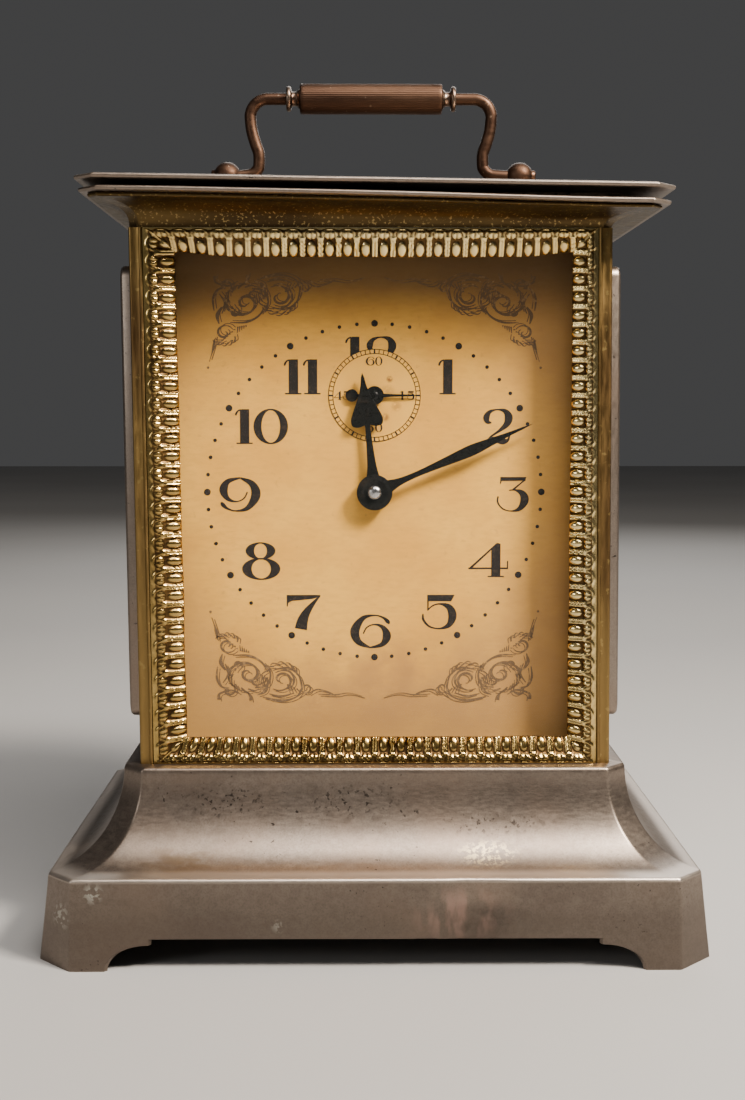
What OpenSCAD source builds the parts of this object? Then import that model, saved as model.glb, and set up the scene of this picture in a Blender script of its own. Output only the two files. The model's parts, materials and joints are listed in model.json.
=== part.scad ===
// Carriage clock: a sheet-metal case on a stepped base, with a folding handle
// and a spring-driven timepiece movement that is wound and set from the back.
// Millimetres. +Z is up, the dial faces -Y, and the origin is the middle of the footprint.

/* [Case] */
// Width of the body between its outer side faces
body_w = 114.6; // [112:0.2:118]
// Depth of the body from front to back
body_d = 72; // [70:0.5:80]
// Height of the body between the base and the cornice
body_h = 129.6; // [129:0.1:131]
// Thickness of the case's sheet metal
sheet = 0.8; // [0.7:0.05:0.9]
// Width of each corner post's two legs, front and side
post_legs = [3.4, 9];

/* [Base] */
// Width of the base over its feet
base_w = 160; // [156:1:168]
// Height of the whole base
base_h = 43.7; // [40:0.1:50]
// Height of the upright apron, feet included
apron_h = 21.2; // [18:0.1:24]
// How far the apron leans in on each side
apron_lean = 2.3; // [1:0.1:4]
// How far the cove draws in on each side
cove_in = 16.1; // [12:0.1:18]
// Height of the arch between the feet
arch_h = 7.4; // [5:0.1:9]
// Length of each foot along the front and side, corner included
foot_l = 16.7; // [14:0.1:22]

/* [Cornice] */
// How far the top plate overhangs the body
overhang = 12.5; // [10:0.1:14]
// Height of the brass cove under the cornice plate
cornice_h = 5.9; // [5:0.1:6.5]
// Thickness of the cornice plate and of the top plate
plate_t = 1.2; // [1:0.1:1.4]
// Gap between the two plates at their rims
plate_gap = 0.8; // [0.5:0.1:1]

/* [Front] */
// Width of the opening in the bezel
window_w = 95; // [92:0.5:97]
// Height of the opening in the bezel
window_h = 118.3; // [114:0.1:119]
// How far the dial's face sits behind the front of the body
dial_recess = 10; // [9.5:0.1:10.5]
// Height of the seconds dial's centre above the dial's centre
seconds_up = 23.8; // [23.4:0.1:24.2]

/* [Hands at rest] */
// Hour hand, degrees clockwise from twelve
hour_angle = -6; // [-180:1:180]
// Minute hand, degrees clockwise from twelve
minute_angle = 67; // [-180:1:180]
// Seconds hand, degrees clockwise from sixty
seconds_angle = 90; // [-180:1:180]

/* [Handle] */
// Distance between the two ball posts
handle_span = 76; // [74:0.5:80]
// Height of the grip's centre above the pivots
handle_rise = 19.9; // [18:0.1:22]
// Length of the grip
grip_l = 37.9; // [34:0.1:40]
// Diameter of the grip
grip_d = 7.9; // [7:0.1:9]
// Diameter of the handle's bent arms
arm_d = 3.05; // [2.8:0.05:3.3]

/* [Movement] */
// Distance between the two movement plates
plate_space = 26.8; // [26.6:0.1:27.2]
// Teeth on the great wheel and leaves on the centre pinion
great_teeth = [72, 12];
// Teeth on the centre wheel and leaves on the third pinion
centre_teeth = [64, 8];
// Teeth on the third wheel and leaves on the fourth pinion
third_teeth = [60, 8];
// Teeth on the fourth wheel and leaves on the escape pinion
fourth_teeth = [60, 6];
// Teeth on the ratchet wheel
ratchet_teeth = 24; // [18:1:30]

/* [Hidden] */
$fn = 48;

eps = 0.01;
// Running clearance on the radius of every pivot and hinge
fit = 0.04;

body_x = body_w / 2;
body_y = body_d / 2;
body_top = base_h + body_h;
// Every level of the case is deeper than the body by as much as it is wider
depth_less = body_x - body_y;

foot_x = base_w / 2;
apron_x = foot_x - apron_lean;
cove_top_x = apron_x - cove_in;
foot_corner = 8.6;
// Each arch rises in a quarter curve to a small square shoulder
arch_run = 10.3;
arch_shoulder = 6;
apron_corner = 6.3;
cove_corner = 4.9;
cove_steps = 10;

cornice_x = body_x + overhang - 0.8;
top_x = body_x + overhang;
cove_out = overhang - 3;
cornice_plate_z = body_top + cornice_h;
top_plate_z = cornice_plate_z + plate_t + plate_gap;
case_top = top_plate_z + plate_t;

window_z = base_h + 5.5;
dial_z = window_z + window_h / 2 + 1.55;
seconds_z = dial_z + seconds_up;
bezel_x = body_x - post_legs[0] - 0.05;
bezel_back = -body_y + 3.2;
glass_y = bezel_back + 0.4;
glass_t = 1.8;
dial_y = -body_y + dial_recess;
paper_t = 0.3;

// Movement plates, from the front of the front plate to the back of the back plate
mp_t = 1.2;
front_y = dial_y + 6;
inner_y = front_y + mp_t;
back_y = inner_y + plate_space;
rear_y = back_y + mp_t;
mp_x = 33;
mp_z = [58, 166];
pillar_x = 28.5;
pillar_z = [62.5, 161.5];
frame_t = 1.2;

// Modules, in millimetres of pitch diameter per tooth
m_great = 0.7;
m_centre = 0.45;
m_third = 0.42;
m_fourth = 0.36;
m_motion = 0.4;

function centres(teeth, m) = (teeth[0] + teeth[1]) * m / 2;

// Arbor positions, each as [x, z]
p_centre = [0, dial_z];
p_great = [0, dial_z - centres(great_teeth, m_great)];
p_fourth = [0, seconds_z];
third_a = centres(centre_teeth, m_centre);
third_b = centres(third_teeth, m_third);
third_up = (third_a * third_a - third_b * third_b + seconds_up * seconds_up)
    / (2 * seconds_up);
p_third = [sqrt(third_a * third_a - third_up * third_up), dial_z + third_up];
escape_dir = 157.8;
p_escape = p_fourth + centres(fourth_teeth, m_fourth) * [cos(escape_dir), sin(escape_dir)];
escape_teeth = 15;
escape_r = 5.5;
pallet_dir = 52;
pallet_span = 42;
// Degrees that a tooth stands past the line of centres, where both pallet pins can dip
escape_rest = 1;
p_lever = p_escape + escape_r / cos(pallet_span) * [cos(pallet_dir), sin(pallet_dir)];
lever_l = 12.2;
p_balance = p_lever + lever_l * [cos(pallet_dir), sin(pallet_dir)];
motion_dir = -50;
motion_a = 20 * m_motion;
p_minute = p_centre + motion_a * [cos(motion_dir), sin(motion_dir)];

arbor_r = 0.6;
pivot_r = 0.35;
centre_arbor_r = 1.3;
centre_front_r = 0.9;
winding_r = 2.2;
cannon_r = 1.65;
hour_pipe_bore = cannon_r + 0.06;
hour_pipe_r = hour_pipe_bore + 0.6;

hinge_x = body_x - 3.7;
hinge_y = body_y + 1.4;
hinge_r = 1.4;
hinge_pin_r = 0.7;
door_x = hinge_x - 0.3;
door_z = [base_h + 5.5, body_top - 5.5];
door_t = 0.8;
knuckle_h = 9;
hinge_z = [door_z[0] + 14, door_z[1] - 14 - 3 * knuckle_h];

pivot_z = case_top + 8.3;
ball_r = 3.5;

// ---------------------------------------------------------------- shapes

// Draws a flat outline in the x-z plane, t thick, with its front face at y = front
module upright(front, t) {
    translate([0, front + t, 0]) rotate([90, 0, 0]) linear_extrude(t) children();
}

// A round rod along y from y = front to y = back
module rod(p, front, back, r) {
    upright(front, back - front) translate(p) circle(r);
}

// A rod with a through bore
module pipe(p, front, back, r, bore) {
    upright(front, back - front) translate(p) difference() {
        circle(r);
        circle(bore);
    }
}

// A rectangle by its corners
module box2(low, high) {
    translate(low) square(high - low);
}

// Corner points of one level: half-width, height and chamfer
function level(hx, z, c) = let (hy = hx - depth_less) [
    [hx, c - hy, z], [hx, hy - c, z], [hx - c, hy, z], [c - hx, hy, z],
    [-hx, hy - c, z], [-hx, c - hy, z], [c - hx, -hy, z], [hx - c, -hy, z]
];

// Closes a loop of rings, each with the same number of points, into one solid skin
module ring_skin(rings) {
    count = len(rings);
    side = len(rings[0]);
    polyhedron(
        points = [for (ring = rings) each ring],
        faces = [
            for (i = [0:count - 1], j = [0:side - 1])
                let (n = (i + 1) % count, k = (j + 1) % side)
                    [i * side + j, n * side + j, n * side + k, i * side + k]
        ]
    );
}

// Points of a quarter ellipse, upright at its inner end and level at its outer end
function cove(inner, z_inner, out, down, steps) = [
    for (i = [0:steps]) let (t = 90 * i / steps)
        [inner + out * (1 - cos(t)), z_inner - down * sin(t)]
];

// Reverses a list
function back_to_front(list) = [for (i = [len(list) - 1:-1:0]) list[i]];

// One flank of a tooth: radial below the pitch circle, epicycloid above it, as [r, degrees]
function tooth_flank(r, m, half, roll_ratio) = [
    [r - 1.12 * m, half],
    [r, half],
    for (roll = [34, 50, 60])
        [r + r / roll_ratio * (1 - cos(roll)), half - (roll - sin(roll) * 180 / PI) / roll_ratio]
];

// One flank of a pinion leaf: radial, with a small rounded tip
function leaf_flank(r, m, half) = [
    [r - 1.5 * m, half],
    [r, half],
    [r + 0.32 * m, half * 0.8],
    [r + 0.55 * m, half * 0.3]
];

// Turns one flank into the outline of a whole wheel with a tooth centred on angle 0
module toothed(teeth, flank) {
    tooth = [
        for (p = flank) [p[0], -p[1]],
        for (p = back_to_front(flank)) p
    ];
    polygon([
        for (i = [0:teeth - 1], p = tooth)
            let (a = p[1] + i * 360 / teeth) p[0] * [cos(a), sin(a)]
    ]);
}

// Wheel outline that drives a pinion of mate leaves
module wheel_teeth(teeth, m, mate) {
    toothed(teeth, tooth_flank(teeth * m / 2, m, 80 / teeth, 2 * teeth / mate));
}

// Pinion outline
module pinion_leaves(leaves, m) {
    toothed(leaves, leaf_flank(leaves * m / 2, m, 64 / leaves));
}

// A crossed-out wheel: rim, spokes and hub, with a tooth facing the direction facing
module crossed_wheel(p, front, t, teeth, m, mate, facing, spokes, hub_r) {
    r = teeth * m / 2;
    rim_r = r - 2.8 * m;
    upright(front, t) translate(p) rotate(facing) difference() {
        wheel_teeth(teeth, m, mate);
        difference() {
            circle(rim_r);
            circle(hub_r);
            for (i = [0:spokes - 1]) rotate(i * 360 / spokes)
                translate([0, -0.09 * r]) square([r, 0.18 * r]);
        }
    }
}

// A pinion between front and back, with a gap facing the direction facing
module pinion(p, front, back, leaves, m, facing) {
    upright(front, back - front) translate(p)
        rotate(facing + 180 / leaves) pinion_leaves(leaves, m);
}

// A plain arbor with a pivot in each plate
module arbor(p) {
    rod(p, inner_y + 0.15, back_y - 0.15, arbor_r);
    rod(p, front_y + 0.1, rear_y - 0.1, pivot_r);
}

// A slotted screw head with its shank along +y, its head's outer face at y = front
module screw_y(p, front, head_r, head_t, shank_r, shank_l) {
    difference() {
        rod(p, front, front + head_t, head_r);
        upright(front - eps, head_t * 0.45) translate(p)
            square([2 * head_r + 1, head_r * 0.3], center = true);
    }
    rod(p, front + head_t - eps, front + head_t + shank_l, shank_r);
}

// Flat spiral strip in the x-z plane: start radius and angle, radius gained per turn
function spiral_points(r0, gain, turns, start, steps, side) = [
    for (i = [0:steps]) let (a = start + 360 * turns * i / steps)
        (r0 + side + gain * turns * i / steps) * [cos(a), sin(a)]
];

module spiral(r0, gain, turns, start, steps, t) {
    polygon(concat(
        spiral_points(r0, gain, turns, start, steps, t / 2),
        back_to_front(spiral_points(r0, gain, turns, start, steps, -t / 2))
    ));
}

// A round wire swept along points that lie in one plane with normal flat
module wire(points, r, flat) {
    count = len(points);
    sides = 12;
    function heading(i) = points[min(i + 1, count - 1)] - points[max(i - 1, 0)];
    function ring(i) = let (d = heading(i) / norm(heading(i)), n = cross(flat, d))
        [for (j = [0:sides - 1]) points[i] + r * (cos(j * 30) * n + sin(j * 30) * flat)];
    polyhedron(
        points = [for (i = [0:count - 1]) each ring(i)],
        faces = [
            [for (j = [0:sides - 1]) j],
            [for (j = [sides - 1:-1:0]) (count - 1) * sides + j],
            for (i = [0:count - 2], j = [0:sides - 1]) let (k = (j + 1) % sides)
                [i * sides + j, (i + 1) * sides + j, (i + 1) * sides + k, i * sides + k]
        ]
    );
}

// ---------------------------------------------------------------- base

module base_shell() {
    cove_line = cove(cove_top_x, base_h, cove_in, base_h - apron_h, cove_steps);
    function corner(z) = z < apron_h
        ? foot_corner + (apron_corner - foot_corner) * z / apron_h
        : apron_corner + (cove_corner - apron_corner) * (z - apron_h) / (base_h - apron_h);
    function cut(x, z) = level(x, z, corner(z));
    outer = [for (p = back_to_front(cove_line)) cut(p[0], p[1])];
    inner = [for (p = cove_line) cut(p[0] - sheet, min(p[1] - sheet / 5, base_h - sheet))];
    color("lightsteelblue") difference() {
        ring_skin(concat(
            [cut(foot_x, 0)],
            outer,
            [level(50, base_h, cove_corner), level(50, base_h - sheet, cove_corner)],
            inner,
            [cut(apron_x - sheet, apron_h - sheet), cut(foot_x - sheet, 0)]
        ));
        arch(foot_x, 2 * foot_x);
        rotate(90) arch(foot_x - depth_less, 2 * foot_x);
        for (p = base_screw_places()) translate([p[0], p[1], base_h - 2])
            cylinder(r = 1.3, h = 4);
    }
}

// The space under the apron between two feet, for a side of half-width half
module arch(half, length) {
    toe = half - foot_l;
    curve = [for (t = [0:15:90]) [toe - arch_run * (1 - cos(t)), arch_shoulder * sin(t)]];
    shoulder = toe - arch_run - 0.1;
    translate([0, length, 0]) rotate([90, 0, 0]) linear_extrude(2 * length) polygon(concat(
        [[-toe, -1]],
        [for (p = curve) [-p[0], p[1]]],
        [
            [-shoulder, arch_shoulder], [-shoulder, arch_h],
            [shoulder, arch_h], [shoulder, arch_shoulder]
        ],
        back_to_front(curve),
        [[toe, -1]]
    ));
}

function base_screw_places() = [for (x = [-52.5, 52.5], y = [-1, 1]) [x, y * (body_y - 5)]];

module case_floor() {
    color("tan") difference() {
        translate([sheet - body_x, sheet - body_y, base_h])
            cube([body_w - 2 * sheet, body_d - 2 * sheet, 1.6]);
        for (x = [-1, 1], y = [-1, 1])
            translate([x * body_x, y * body_y, base_h + 0.8])
                cube([2 * 4.2, 2 * 9.3, 2], center = true);
        for (p = base_screw_places()) translate([p[0], p[1], base_h - 1])
            cylinder(r = 1.2, h = 4);
    }
}

module base_screws() {
    color("silver") for (p = base_screw_places()) {
        translate([p[0], p[1], base_h - sheet - 1.4]) difference() {
            cylinder(r = 2.2, h = 1.4);
            translate([-3, -0.3, -eps]) cube([6, 0.6, 0.7]);
        }
        translate([p[0], p[1], base_h - sheet - eps]) cylinder(r = 1.1, h = 3);
    }
}

// ---------------------------------------------------------------- body

// One corner post: an angle strip, mirrored to each corner
module corner_post(side_x, side_y) {
    color("darkgoldenrod") mirror([side_x < 0 ? 1 : 0, 0, 0]) mirror([0, side_y < 0 ? 1 : 0, 0])
        translate([0, 0, base_h]) linear_extrude(body_h) polygon([
            [body_x, body_y],
            [body_x - post_legs[0], body_y],
            [body_x - post_legs[0], body_y - sheet],
            [body_x - sheet, body_y - sheet],
            [body_x - sheet, body_y - post_legs[1]],
            [body_x, body_y - post_legs[1]]
        ]);
}
module corner_post_front_left() { corner_post(-1, -1); }
module corner_post_front_right() { corner_post(1, -1); }
module corner_post_rear_left() { corner_post(-1, 1); }
module corner_post_rear_right() { corner_post(1, 1); }

// One side of the case: a flat border behind the posts and a raised, stepped field
module side_panel(side) {
    panel_t = 0.6;
    border_x = body_x - sheet - panel_t;
    border = [body_y - 2, base_h + 1.8, body_top - 1];
    raised = [body_y - 9.5, base_h + 9.8, body_top - 8];
    step = [raised[0] - 1.6, raised[1] + 3, raised[2] - 3];
    module slab(x0, x1, yz) {
        translate([x0, -yz[0], yz[1]]) cube([x1 - x0, 2 * yz[0], yz[2] - yz[1]]);
    }
    function grown(yz, by) = [yz[0] + by, yz[1] - by, yz[2] + by];
    color("silver") mirror([side < 0 ? 1 : 0, 0, 0]) difference() {
        union() {
            slab(border_x, border_x + panel_t, border);
            slab(border_x, body_x + 1.7, raised);
            slab(border_x, body_x + 2.7, step);
        }
        slab(border_x - 1, body_x + 1.7 - panel_t, grown(raised, -panel_t));
        slab(border_x - 1, body_x + 2.7 - panel_t, grown(step, -panel_t));
    }
}
module side_panel_left() { side_panel(-1); }
module side_panel_right() { side_panel(1); }

module rear_frame() {
    color("silver") upright(body_y - 2 * sheet, sheet) difference() {
        box2([sheet + 0.6 - body_x + eps, base_h + 1.8], [body_x - sheet - 0.6 - eps, body_top - 1]);
        box2([-46.5, door_z[0] + 4], [46.5, door_z[1] - 4]);
    }
}

// ---------------------------------------------------------------- front

// A rectangle of corner points at one depth, centred on the window
function window_ring(hx, hz, y) = let (z = window_z + window_h / 2) [
    [-hx, y, z - hz], [hx, y, z - hz], [hx, y, z + hz], [-hx, y, z + hz]
];

module bezel() {
    outer_z = body_h / 2 - 0.05;
    mid_z = base_h + body_h / 2;
    shift = mid_z - (window_z + window_h / 2);
    function ring(hx, hz, y, up) = [for (p = window_ring(hx, hz, y)) p + [0, 0, up]];
    slope = 2.6;
    color("gold") ring_skin(back_to_front([
        ring(bezel_x, outer_z, -body_y, shift),
        ring(bezel_x - 1.6, outer_z - 1.2, -body_y, shift),
        ring(window_w / 2, window_h / 2, -body_y + slope, 0),
        ring(window_w / 2, window_h / 2, -body_y + slope + 0.6, 0),
        ring(bezel_x - 1.9, outer_z - 1.6, -body_y + 0.6, shift),
        ring(bezel_x, outer_z, -body_y + 0.6, shift)
    ]));
}

module front_glass() {
    color("aliceblue", 0.3) upright(glass_y, glass_t)
        box2([-51, window_z - 3], [51, window_z + window_h + 3]);
}

module glass_clips() {
    color("goldenrod") for (side = [-1, 1], z = [window_z + 22, window_z + window_h - 22]) {
        translate([side * 51 - 2.5, glass_y + glass_t, z - 5]) cube([5, 0.6, 10]);
        translate([side * 52.9 - 0.6, bezel_back - 1.2, z - 5])
            cube([1.2, glass_y + glass_t + 1.8 - bezel_back, 10]);
    }
}

module dial_plate() {
    color("tan") difference() {
        upright(dial_y + paper_t, sheet) box2([-50, window_z - 2.5], [50, window_z + window_h + 2.5]);
        rod(p_centre, dial_y - 1, dial_y + 3, hour_pipe_r + 0.5);
        rod(p_fourth, dial_y - 1, dial_y + 3, 1.4);
    }
    // Feet riveted to the plate and held by the mounting frame
    color("goldenrod")
        for (x = [-45, 45], z = [window_z + 6, window_z + window_h - 6]) {
            rod([x, z], dial_y + paper_t + sheet - eps, front_y - frame_t, 1.6);
            rod([x, z], front_y - frame_t - eps, front_y + 0.5, 0.9);
        }
}

module dial_paper() {
    color("wheat") difference() {
        upright(dial_y, paper_t) box2([-49.5, window_z - 2], [49.5, window_z + window_h + 2]);
        rod(p_centre, dial_y - 1, dial_y + 1, hour_pipe_r + 0.5);
        rod(p_fourth, dial_y - 1, dial_y + 1, 1.4);
    }
}

// ---------------------------------------------------------------- top

module cornice() {
    line = [
        for (t = [0:15:90])
            [body_x + cove_out * (1 - cos(t)), body_top + (cornice_h - 0.9) * sin(t)]
    ];
    outer = [for (p = line) level(p[0], p[1], 2.5)];
    inner = [for (p = back_to_front(line)) level(p[0] - sheet, p[1] + 0.35, 2.5)];
    color("darkgoldenrod") ring_skin(concat(
        outer,
        [level(body_x + cove_out, cornice_plate_z, 2.5), level(50, cornice_plate_z, 2.5),
         level(50, cornice_plate_z - 0.4, 2.5)],
        inner
    ));
}

module cornice_plate() {
    color("silver") difference() {
        union() {
            translate([0, 0, cornice_plate_z]) linear_extrude(plate_t) chamfered(cornice_x, 4.8);
            translate([0, 0, cornice_plate_z + plate_t - eps])
                linear_extrude(plate_gap + eps) chamfered(cornice_x - 9, 4.8);
        }
        handle_holes(1.6);
    }
}

module top_plate() {
    color("silver") difference() {
        translate([0, 0, top_plate_z]) linear_extrude(plate_t) chamfered(top_x, 4.8);
        handle_holes(1.6);
    }
}

// A rectangle with cut corners, for a level of half-width hx
module chamfered(hx, c) {
    polygon([for (p = level(hx, 0, c)) [p[0], p[1]]]);
}

module handle_holes(r) {
    for (side = [-1, 1]) translate([side * handle_span / 2, 0, cornice_plate_z - 2])
        cylinder(r = r, h = 8);
}

module handle_posts() {
    color("peru") for (side = [-1, 1]) translate([side * handle_span / 2, 0, 0]) difference() {
        union() {
            translate([0, 0, pivot_z]) sphere(ball_r);
            translate([0, 0, case_top]) cylinder(r1 = 3.2, r2 = 2, h = 2);
            translate([0, 0, case_top]) cylinder(r = 2, h = pivot_z - case_top - 2);
            translate([0, 0, cornice_plate_z - 3.2]) cylinder(r = 1.5, h = 8);
        }
        translate([0, 0, pivot_z]) rotate([0, 90, 0])
            cylinder(r = arm_d / 2 + fit, h = 10, center = true);
    }
}

module handle_nuts() {
    color("silver") for (side = [-1, 1])
        translate([side * handle_span / 2, 0, cornice_plate_z - 2.2]) difference() {
            cylinder(r = 3.4, h = 2.2, $fn = 6);
            translate([0, 0, -1]) cylinder(r = 1.5 + fit, h = 5, $fn = 32);
        }
}

// ---------------------------------------------------------------- handle

grip_z = pivot_z + handle_rise;
neck_l = 2.3;
flange_t = 1.2;
arm_x = handle_span / 2 - 6.1;
arm_foot_x = arm_x - 2.3;

// Centre line of the right arm, from the grip's end over the bend and down to the ball
function arc_points(centre, r, from, to, steps) = [
    for (i = [0:steps]) let (a = from + (to - from) * i / steps)
        [centre[0] + r * cos(a), 0, centre[1] + r * sin(a)]
];
top_bend_r = 4.6;
foot_bend_r = 3.4;
arm_line = concat(
    [[grip_l / 2 + flange_t + neck_l - 0.5, 0, grip_z]],
    arc_points([arm_x - top_bend_r, grip_z - top_bend_r], top_bend_r, 90, 0, 6),
    [[arm_x - 0.5, 0, grip_z - 9], [arm_foot_x + 0.15, 0, pivot_z + 6.8]],
    arc_points([arm_foot_x + foot_bend_r, pivot_z + foot_bend_r], foot_bend_r, 180, 270, 5),
    [[handle_span / 2 - ball_r - 0.2, 0, pivot_z]]
);

module handle_arm(side) {
    color("peru") mirror([side < 0 ? 1 : 0, 0, 0]) {
        wire(arm_line, arm_d / 2, [0, 1, 0]);
        translate([handle_span / 2 - ball_r - 0.5, 0, pivot_z]) rotate([0, 90, 0])
            cylinder(r = arm_d / 2, h = 2 * ball_r + 0.9);
    }
}
module handle_arm_left() { handle_arm(-1); }
module handle_arm_right() { handle_arm(1); }

module handle_ferrules() {
    color("peru") for (side = [-1, 1]) mirror([side < 0 ? 1 : 0, 0, 0])
        translate([grip_l / 2, 0, grip_z]) rotate([0, 90, 0]) difference() {
            union() {
                cylinder(r1 = 2.4, r2 = 1.8, h = 0.6);
                cylinder(r = 1.8, h = neck_l);
                translate([0, 0, neck_l - eps]) cylinder(r = 3.2, h = flange_t + eps);
            }
            translate([0, 0, flange_t + neck_l - 0.55]) cylinder(r = arm_d / 2 + 0.02, h = 2);
        }
}

module handle_grip() {
    color("saddlebrown") translate([-grip_l / 2, 0, grip_z]) rotate([0, 90, 0]) difference() {
        cylinder(r = grip_d / 2, h = grip_l);
        translate([0, 0, -1]) cylinder(r = 1.5, h = grip_l + 2);
    }
}

// ---------------------------------------------------------------- rear door

module rear_door() {
    color("silver") {
        difference() {
            upright(body_y - door_t, door_t) box2([-door_x, door_z[0]], [door_x, door_z[1]]);
            rod([-door_x + 8, dial_z], body_y - 2, body_y + 1, 1.3);
        }
        // Raised field of the door
        upright(body_y - eps, 0.7) difference() {
            box2([-door_x + 14, door_z[0] + 8], [door_x - 10, door_z[1] - 8]);
            box2([-door_x + 17, door_z[0] + 11], [door_x - 13, door_z[1] - 11]);
        }
    }
}

module knuckle(z, h) {
    translate([hinge_x, hinge_y, z]) difference() {
        cylinder(r = hinge_r, h = h);
        translate([0, 0, -1]) cylinder(r = hinge_pin_r + fit, h = h + 2);
    }
}

module hinge_bore(z, h) {
    translate([hinge_x, hinge_y, z - 1]) cylinder(r = hinge_pin_r + fit, h = h + 2);
}

module door_hinge_leaf() {
    gap = 0.3;
    color("goldenrod") for (z = hinge_z) {
        knuckle(z + knuckle_h + gap, knuckle_h - 2 * gap);
        difference() {
            translate([hinge_x - 8, body_y, z + knuckle_h + gap])
                cube([8 - 0.2, 0.6, knuckle_h - 2 * gap]);
            hinge_bore(z + knuckle_h, knuckle_h);
        }
    }
}

module case_hinge_leaf() {
    color("goldenrod") for (z = hinge_z) {
        for (up = [0, 2 * knuckle_h]) {
            knuckle(z + up, knuckle_h);
            difference() {
                translate([hinge_x + 0.2, body_y, z + up])
                    cube([body_x - hinge_x - 0.6, 0.6, knuckle_h]);
                hinge_bore(z + up, knuckle_h);
            }
        }
    }
}

module hinge_pin() {
    color("silver") for (z = hinge_z) translate([hinge_x, hinge_y, z - 0.8]) {
        cylinder(r = hinge_pin_r, h = 3 * knuckle_h + 1.6);
        translate([0, 0, -0.6]) cylinder(r = 1.1, h = 0.75);
    }
}

module door_knob() {
    place = [-door_x + 8, dial_z];
    color("gold") {
        rod(place, body_y - door_t, body_y + eps, 1.25);
        rod(place, body_y, body_y + 1, 3.2);
        rod(place, body_y + 1 - eps, body_y + 3.5, 1.8);
        translate([place[0], body_y + 5.6, place[1]]) sphere(3.1);
    }
}

// ---------------------------------------------------------------- movement frame

module mounting_frame() {
    color("darkkhaki") difference() {
        upright(front_y - frame_t, frame_t) difference() {
            box2([-55.8, base_h + 1.8], [55.8, body_top - 1]);
            box2([-25, base_h + 22], [25, body_top - 17]);
            for (side = [-1, 1]) box2(
                [side * 41 - 5, base_h + 22],
                [side * 41 + 5, body_top - 22]
            );
        }
        for (x = [-45, 45], z = [window_z + 6, window_z + window_h - 6])
            rod([x, z], front_y - 3, front_y + 1, 1.0);
        movement_holes(front_y - 3, front_y + 1, 1.05);
        for (x = [-pillar_x, pillar_x], z = pillar_z) rod([x, z], front_y - 3, front_y + 1, 2.4);
    }
}

function movement_screw_places() =
    [for (x = [-29, 29], z = [pillar_z[0] + 12, pillar_z[1] - 12]) [x, z]];

module movement_holes(front, back, r) {
    for (p = movement_screw_places()) rod(p, front, back, r);
}

module movement_screws() {
    color("silver") for (p = movement_screw_places())
        screw_y(p, front_y - frame_t - 1.2, 2, 1.2, 0.95, frame_t + mp_t + 1);
}

// Outline shared by the two movement plates
module plate_outline() {
    difference() {
        box2([-mp_x, mp_z[0]], [mp_x, mp_z[1]]);
        for (side = [-1, 1]) translate([side * mp_x, (mp_z[0] + mp_z[1]) / 2 + 4]) circle(9);
    }
}

module plate_bores(front, back) {
    for (p = [p_third, p_fourth, p_escape, p_lever]) rod(p, front, back, pivot_r + fit);
    for (x = [-pillar_x, pillar_x], z = pillar_z) rod([x, z], front, back, 1.3);
    rod(p_balance, front, back, 1.6);
}

module front_plate() {
    color("goldenrod") difference() {
        upright(front_y, mp_t) plate_outline();
        plate_bores(front_y - 1, front_y + 3);
        rod(p_centre, front_y - 1, front_y + 3, centre_arbor_r + fit);
        rod(p_great, front_y - 1, front_y + 3, 1.5 + fit);
        rod(p_minute, front_y - 1, front_y + 3, 0.9);
        movement_holes(front_y - 1, front_y + 3, 1.05);
        // The seconds arbor passes through to the dial
        rod(p_fourth, front_y - 1, front_y + 3, 0.5 + fit);
    }
}

module back_plate() {
    color("goldenrod") difference() {
        upright(back_y, mp_t) plate_outline();
        plate_bores(back_y - 1, rear_y + 1);
        rod(p_centre, back_y - 1, rear_y + 1, centre_arbor_r + fit);
        rod(p_great, back_y - 1, rear_y + 1, winding_r + fit);
        // Slot for the regulator's curb pins
        upright(back_y - 1, mp_t + 2) translate(p_balance) arc_slot(curb_r, 1.9, 90, 28);
        rod(stud_place(), back_y - 1, rear_y + 1, 0.6);
    }
}

// An arc-shaped slot of the given width, centred on the direction facing
module arc_slot(r, width, facing, half) {
    intersection() {
        difference() {
            circle(r + width / 2);
            circle(r - width / 2);
        }
        polygon([[0, 0], for (a = [-half:half / 2:half]) 2 * r * [cos(facing + a), sin(facing + a)]]);
    }
}

module plate_pillars() {
    color("goldenrod") for (x = [-pillar_x, pillar_x], z = pillar_z) {
        rod([x, z], inner_y, back_y, 2.4);
        rod([x, z], front_y - 0.6, rear_y + 2.4, 1.25);
        rod([x, z], front_y - 1.1, front_y - eps, 1.9);
    }
}

module pillar_nuts() {
    color("silver") for (x = [-pillar_x, pillar_x], z = pillar_z)
        upright(rear_y, 2) translate([x, z]) difference() {
            circle(2.6, $fn = 6);
            circle(1.25 + fit);
        }
}

module minute_wheel_stud() {
    color("silver") {
        rod(p_minute, dial_y + 2.1, front_y + mp_t, 0.85);
        rod(p_minute, front_y - 0.5, front_y - eps, 1.5);
    }
}

// ---------------------------------------------------------------- power

great_y = inner_y + 1.4;
great_t = 1.6;
ratchet_y = great_y + great_t + 0.3;
ratchet_t = 1.2;
ratchet_r = 8;
spring_y = ratchet_y + 4;
spring_w = 11;

module mainspring() {
    turns = 8;
    inner_r = winding_r + 1.1;
    outer_r = 20;
    start = 225;
    tail = p_great + outer_r * [cos(start), sin(start)];
    anchor = [-pillar_x, pillar_z[0]];
    color("steelblue") upright(spring_y, spring_w) {
        translate(p_great)
            spiral(inner_r, (outer_r - inner_r) / turns, turns, start, turns * 24, 0.4);
        difference() {
            union() {
                hull() {
                    translate(tail) circle(0.2, $fn = 12);
                    translate(anchor + [0.9, 2.8]) circle(0.2, $fn = 12);
                }
                translate(anchor) circle(3.1);
            }
            translate(anchor) circle(2.5);
        }
    }
}

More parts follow.
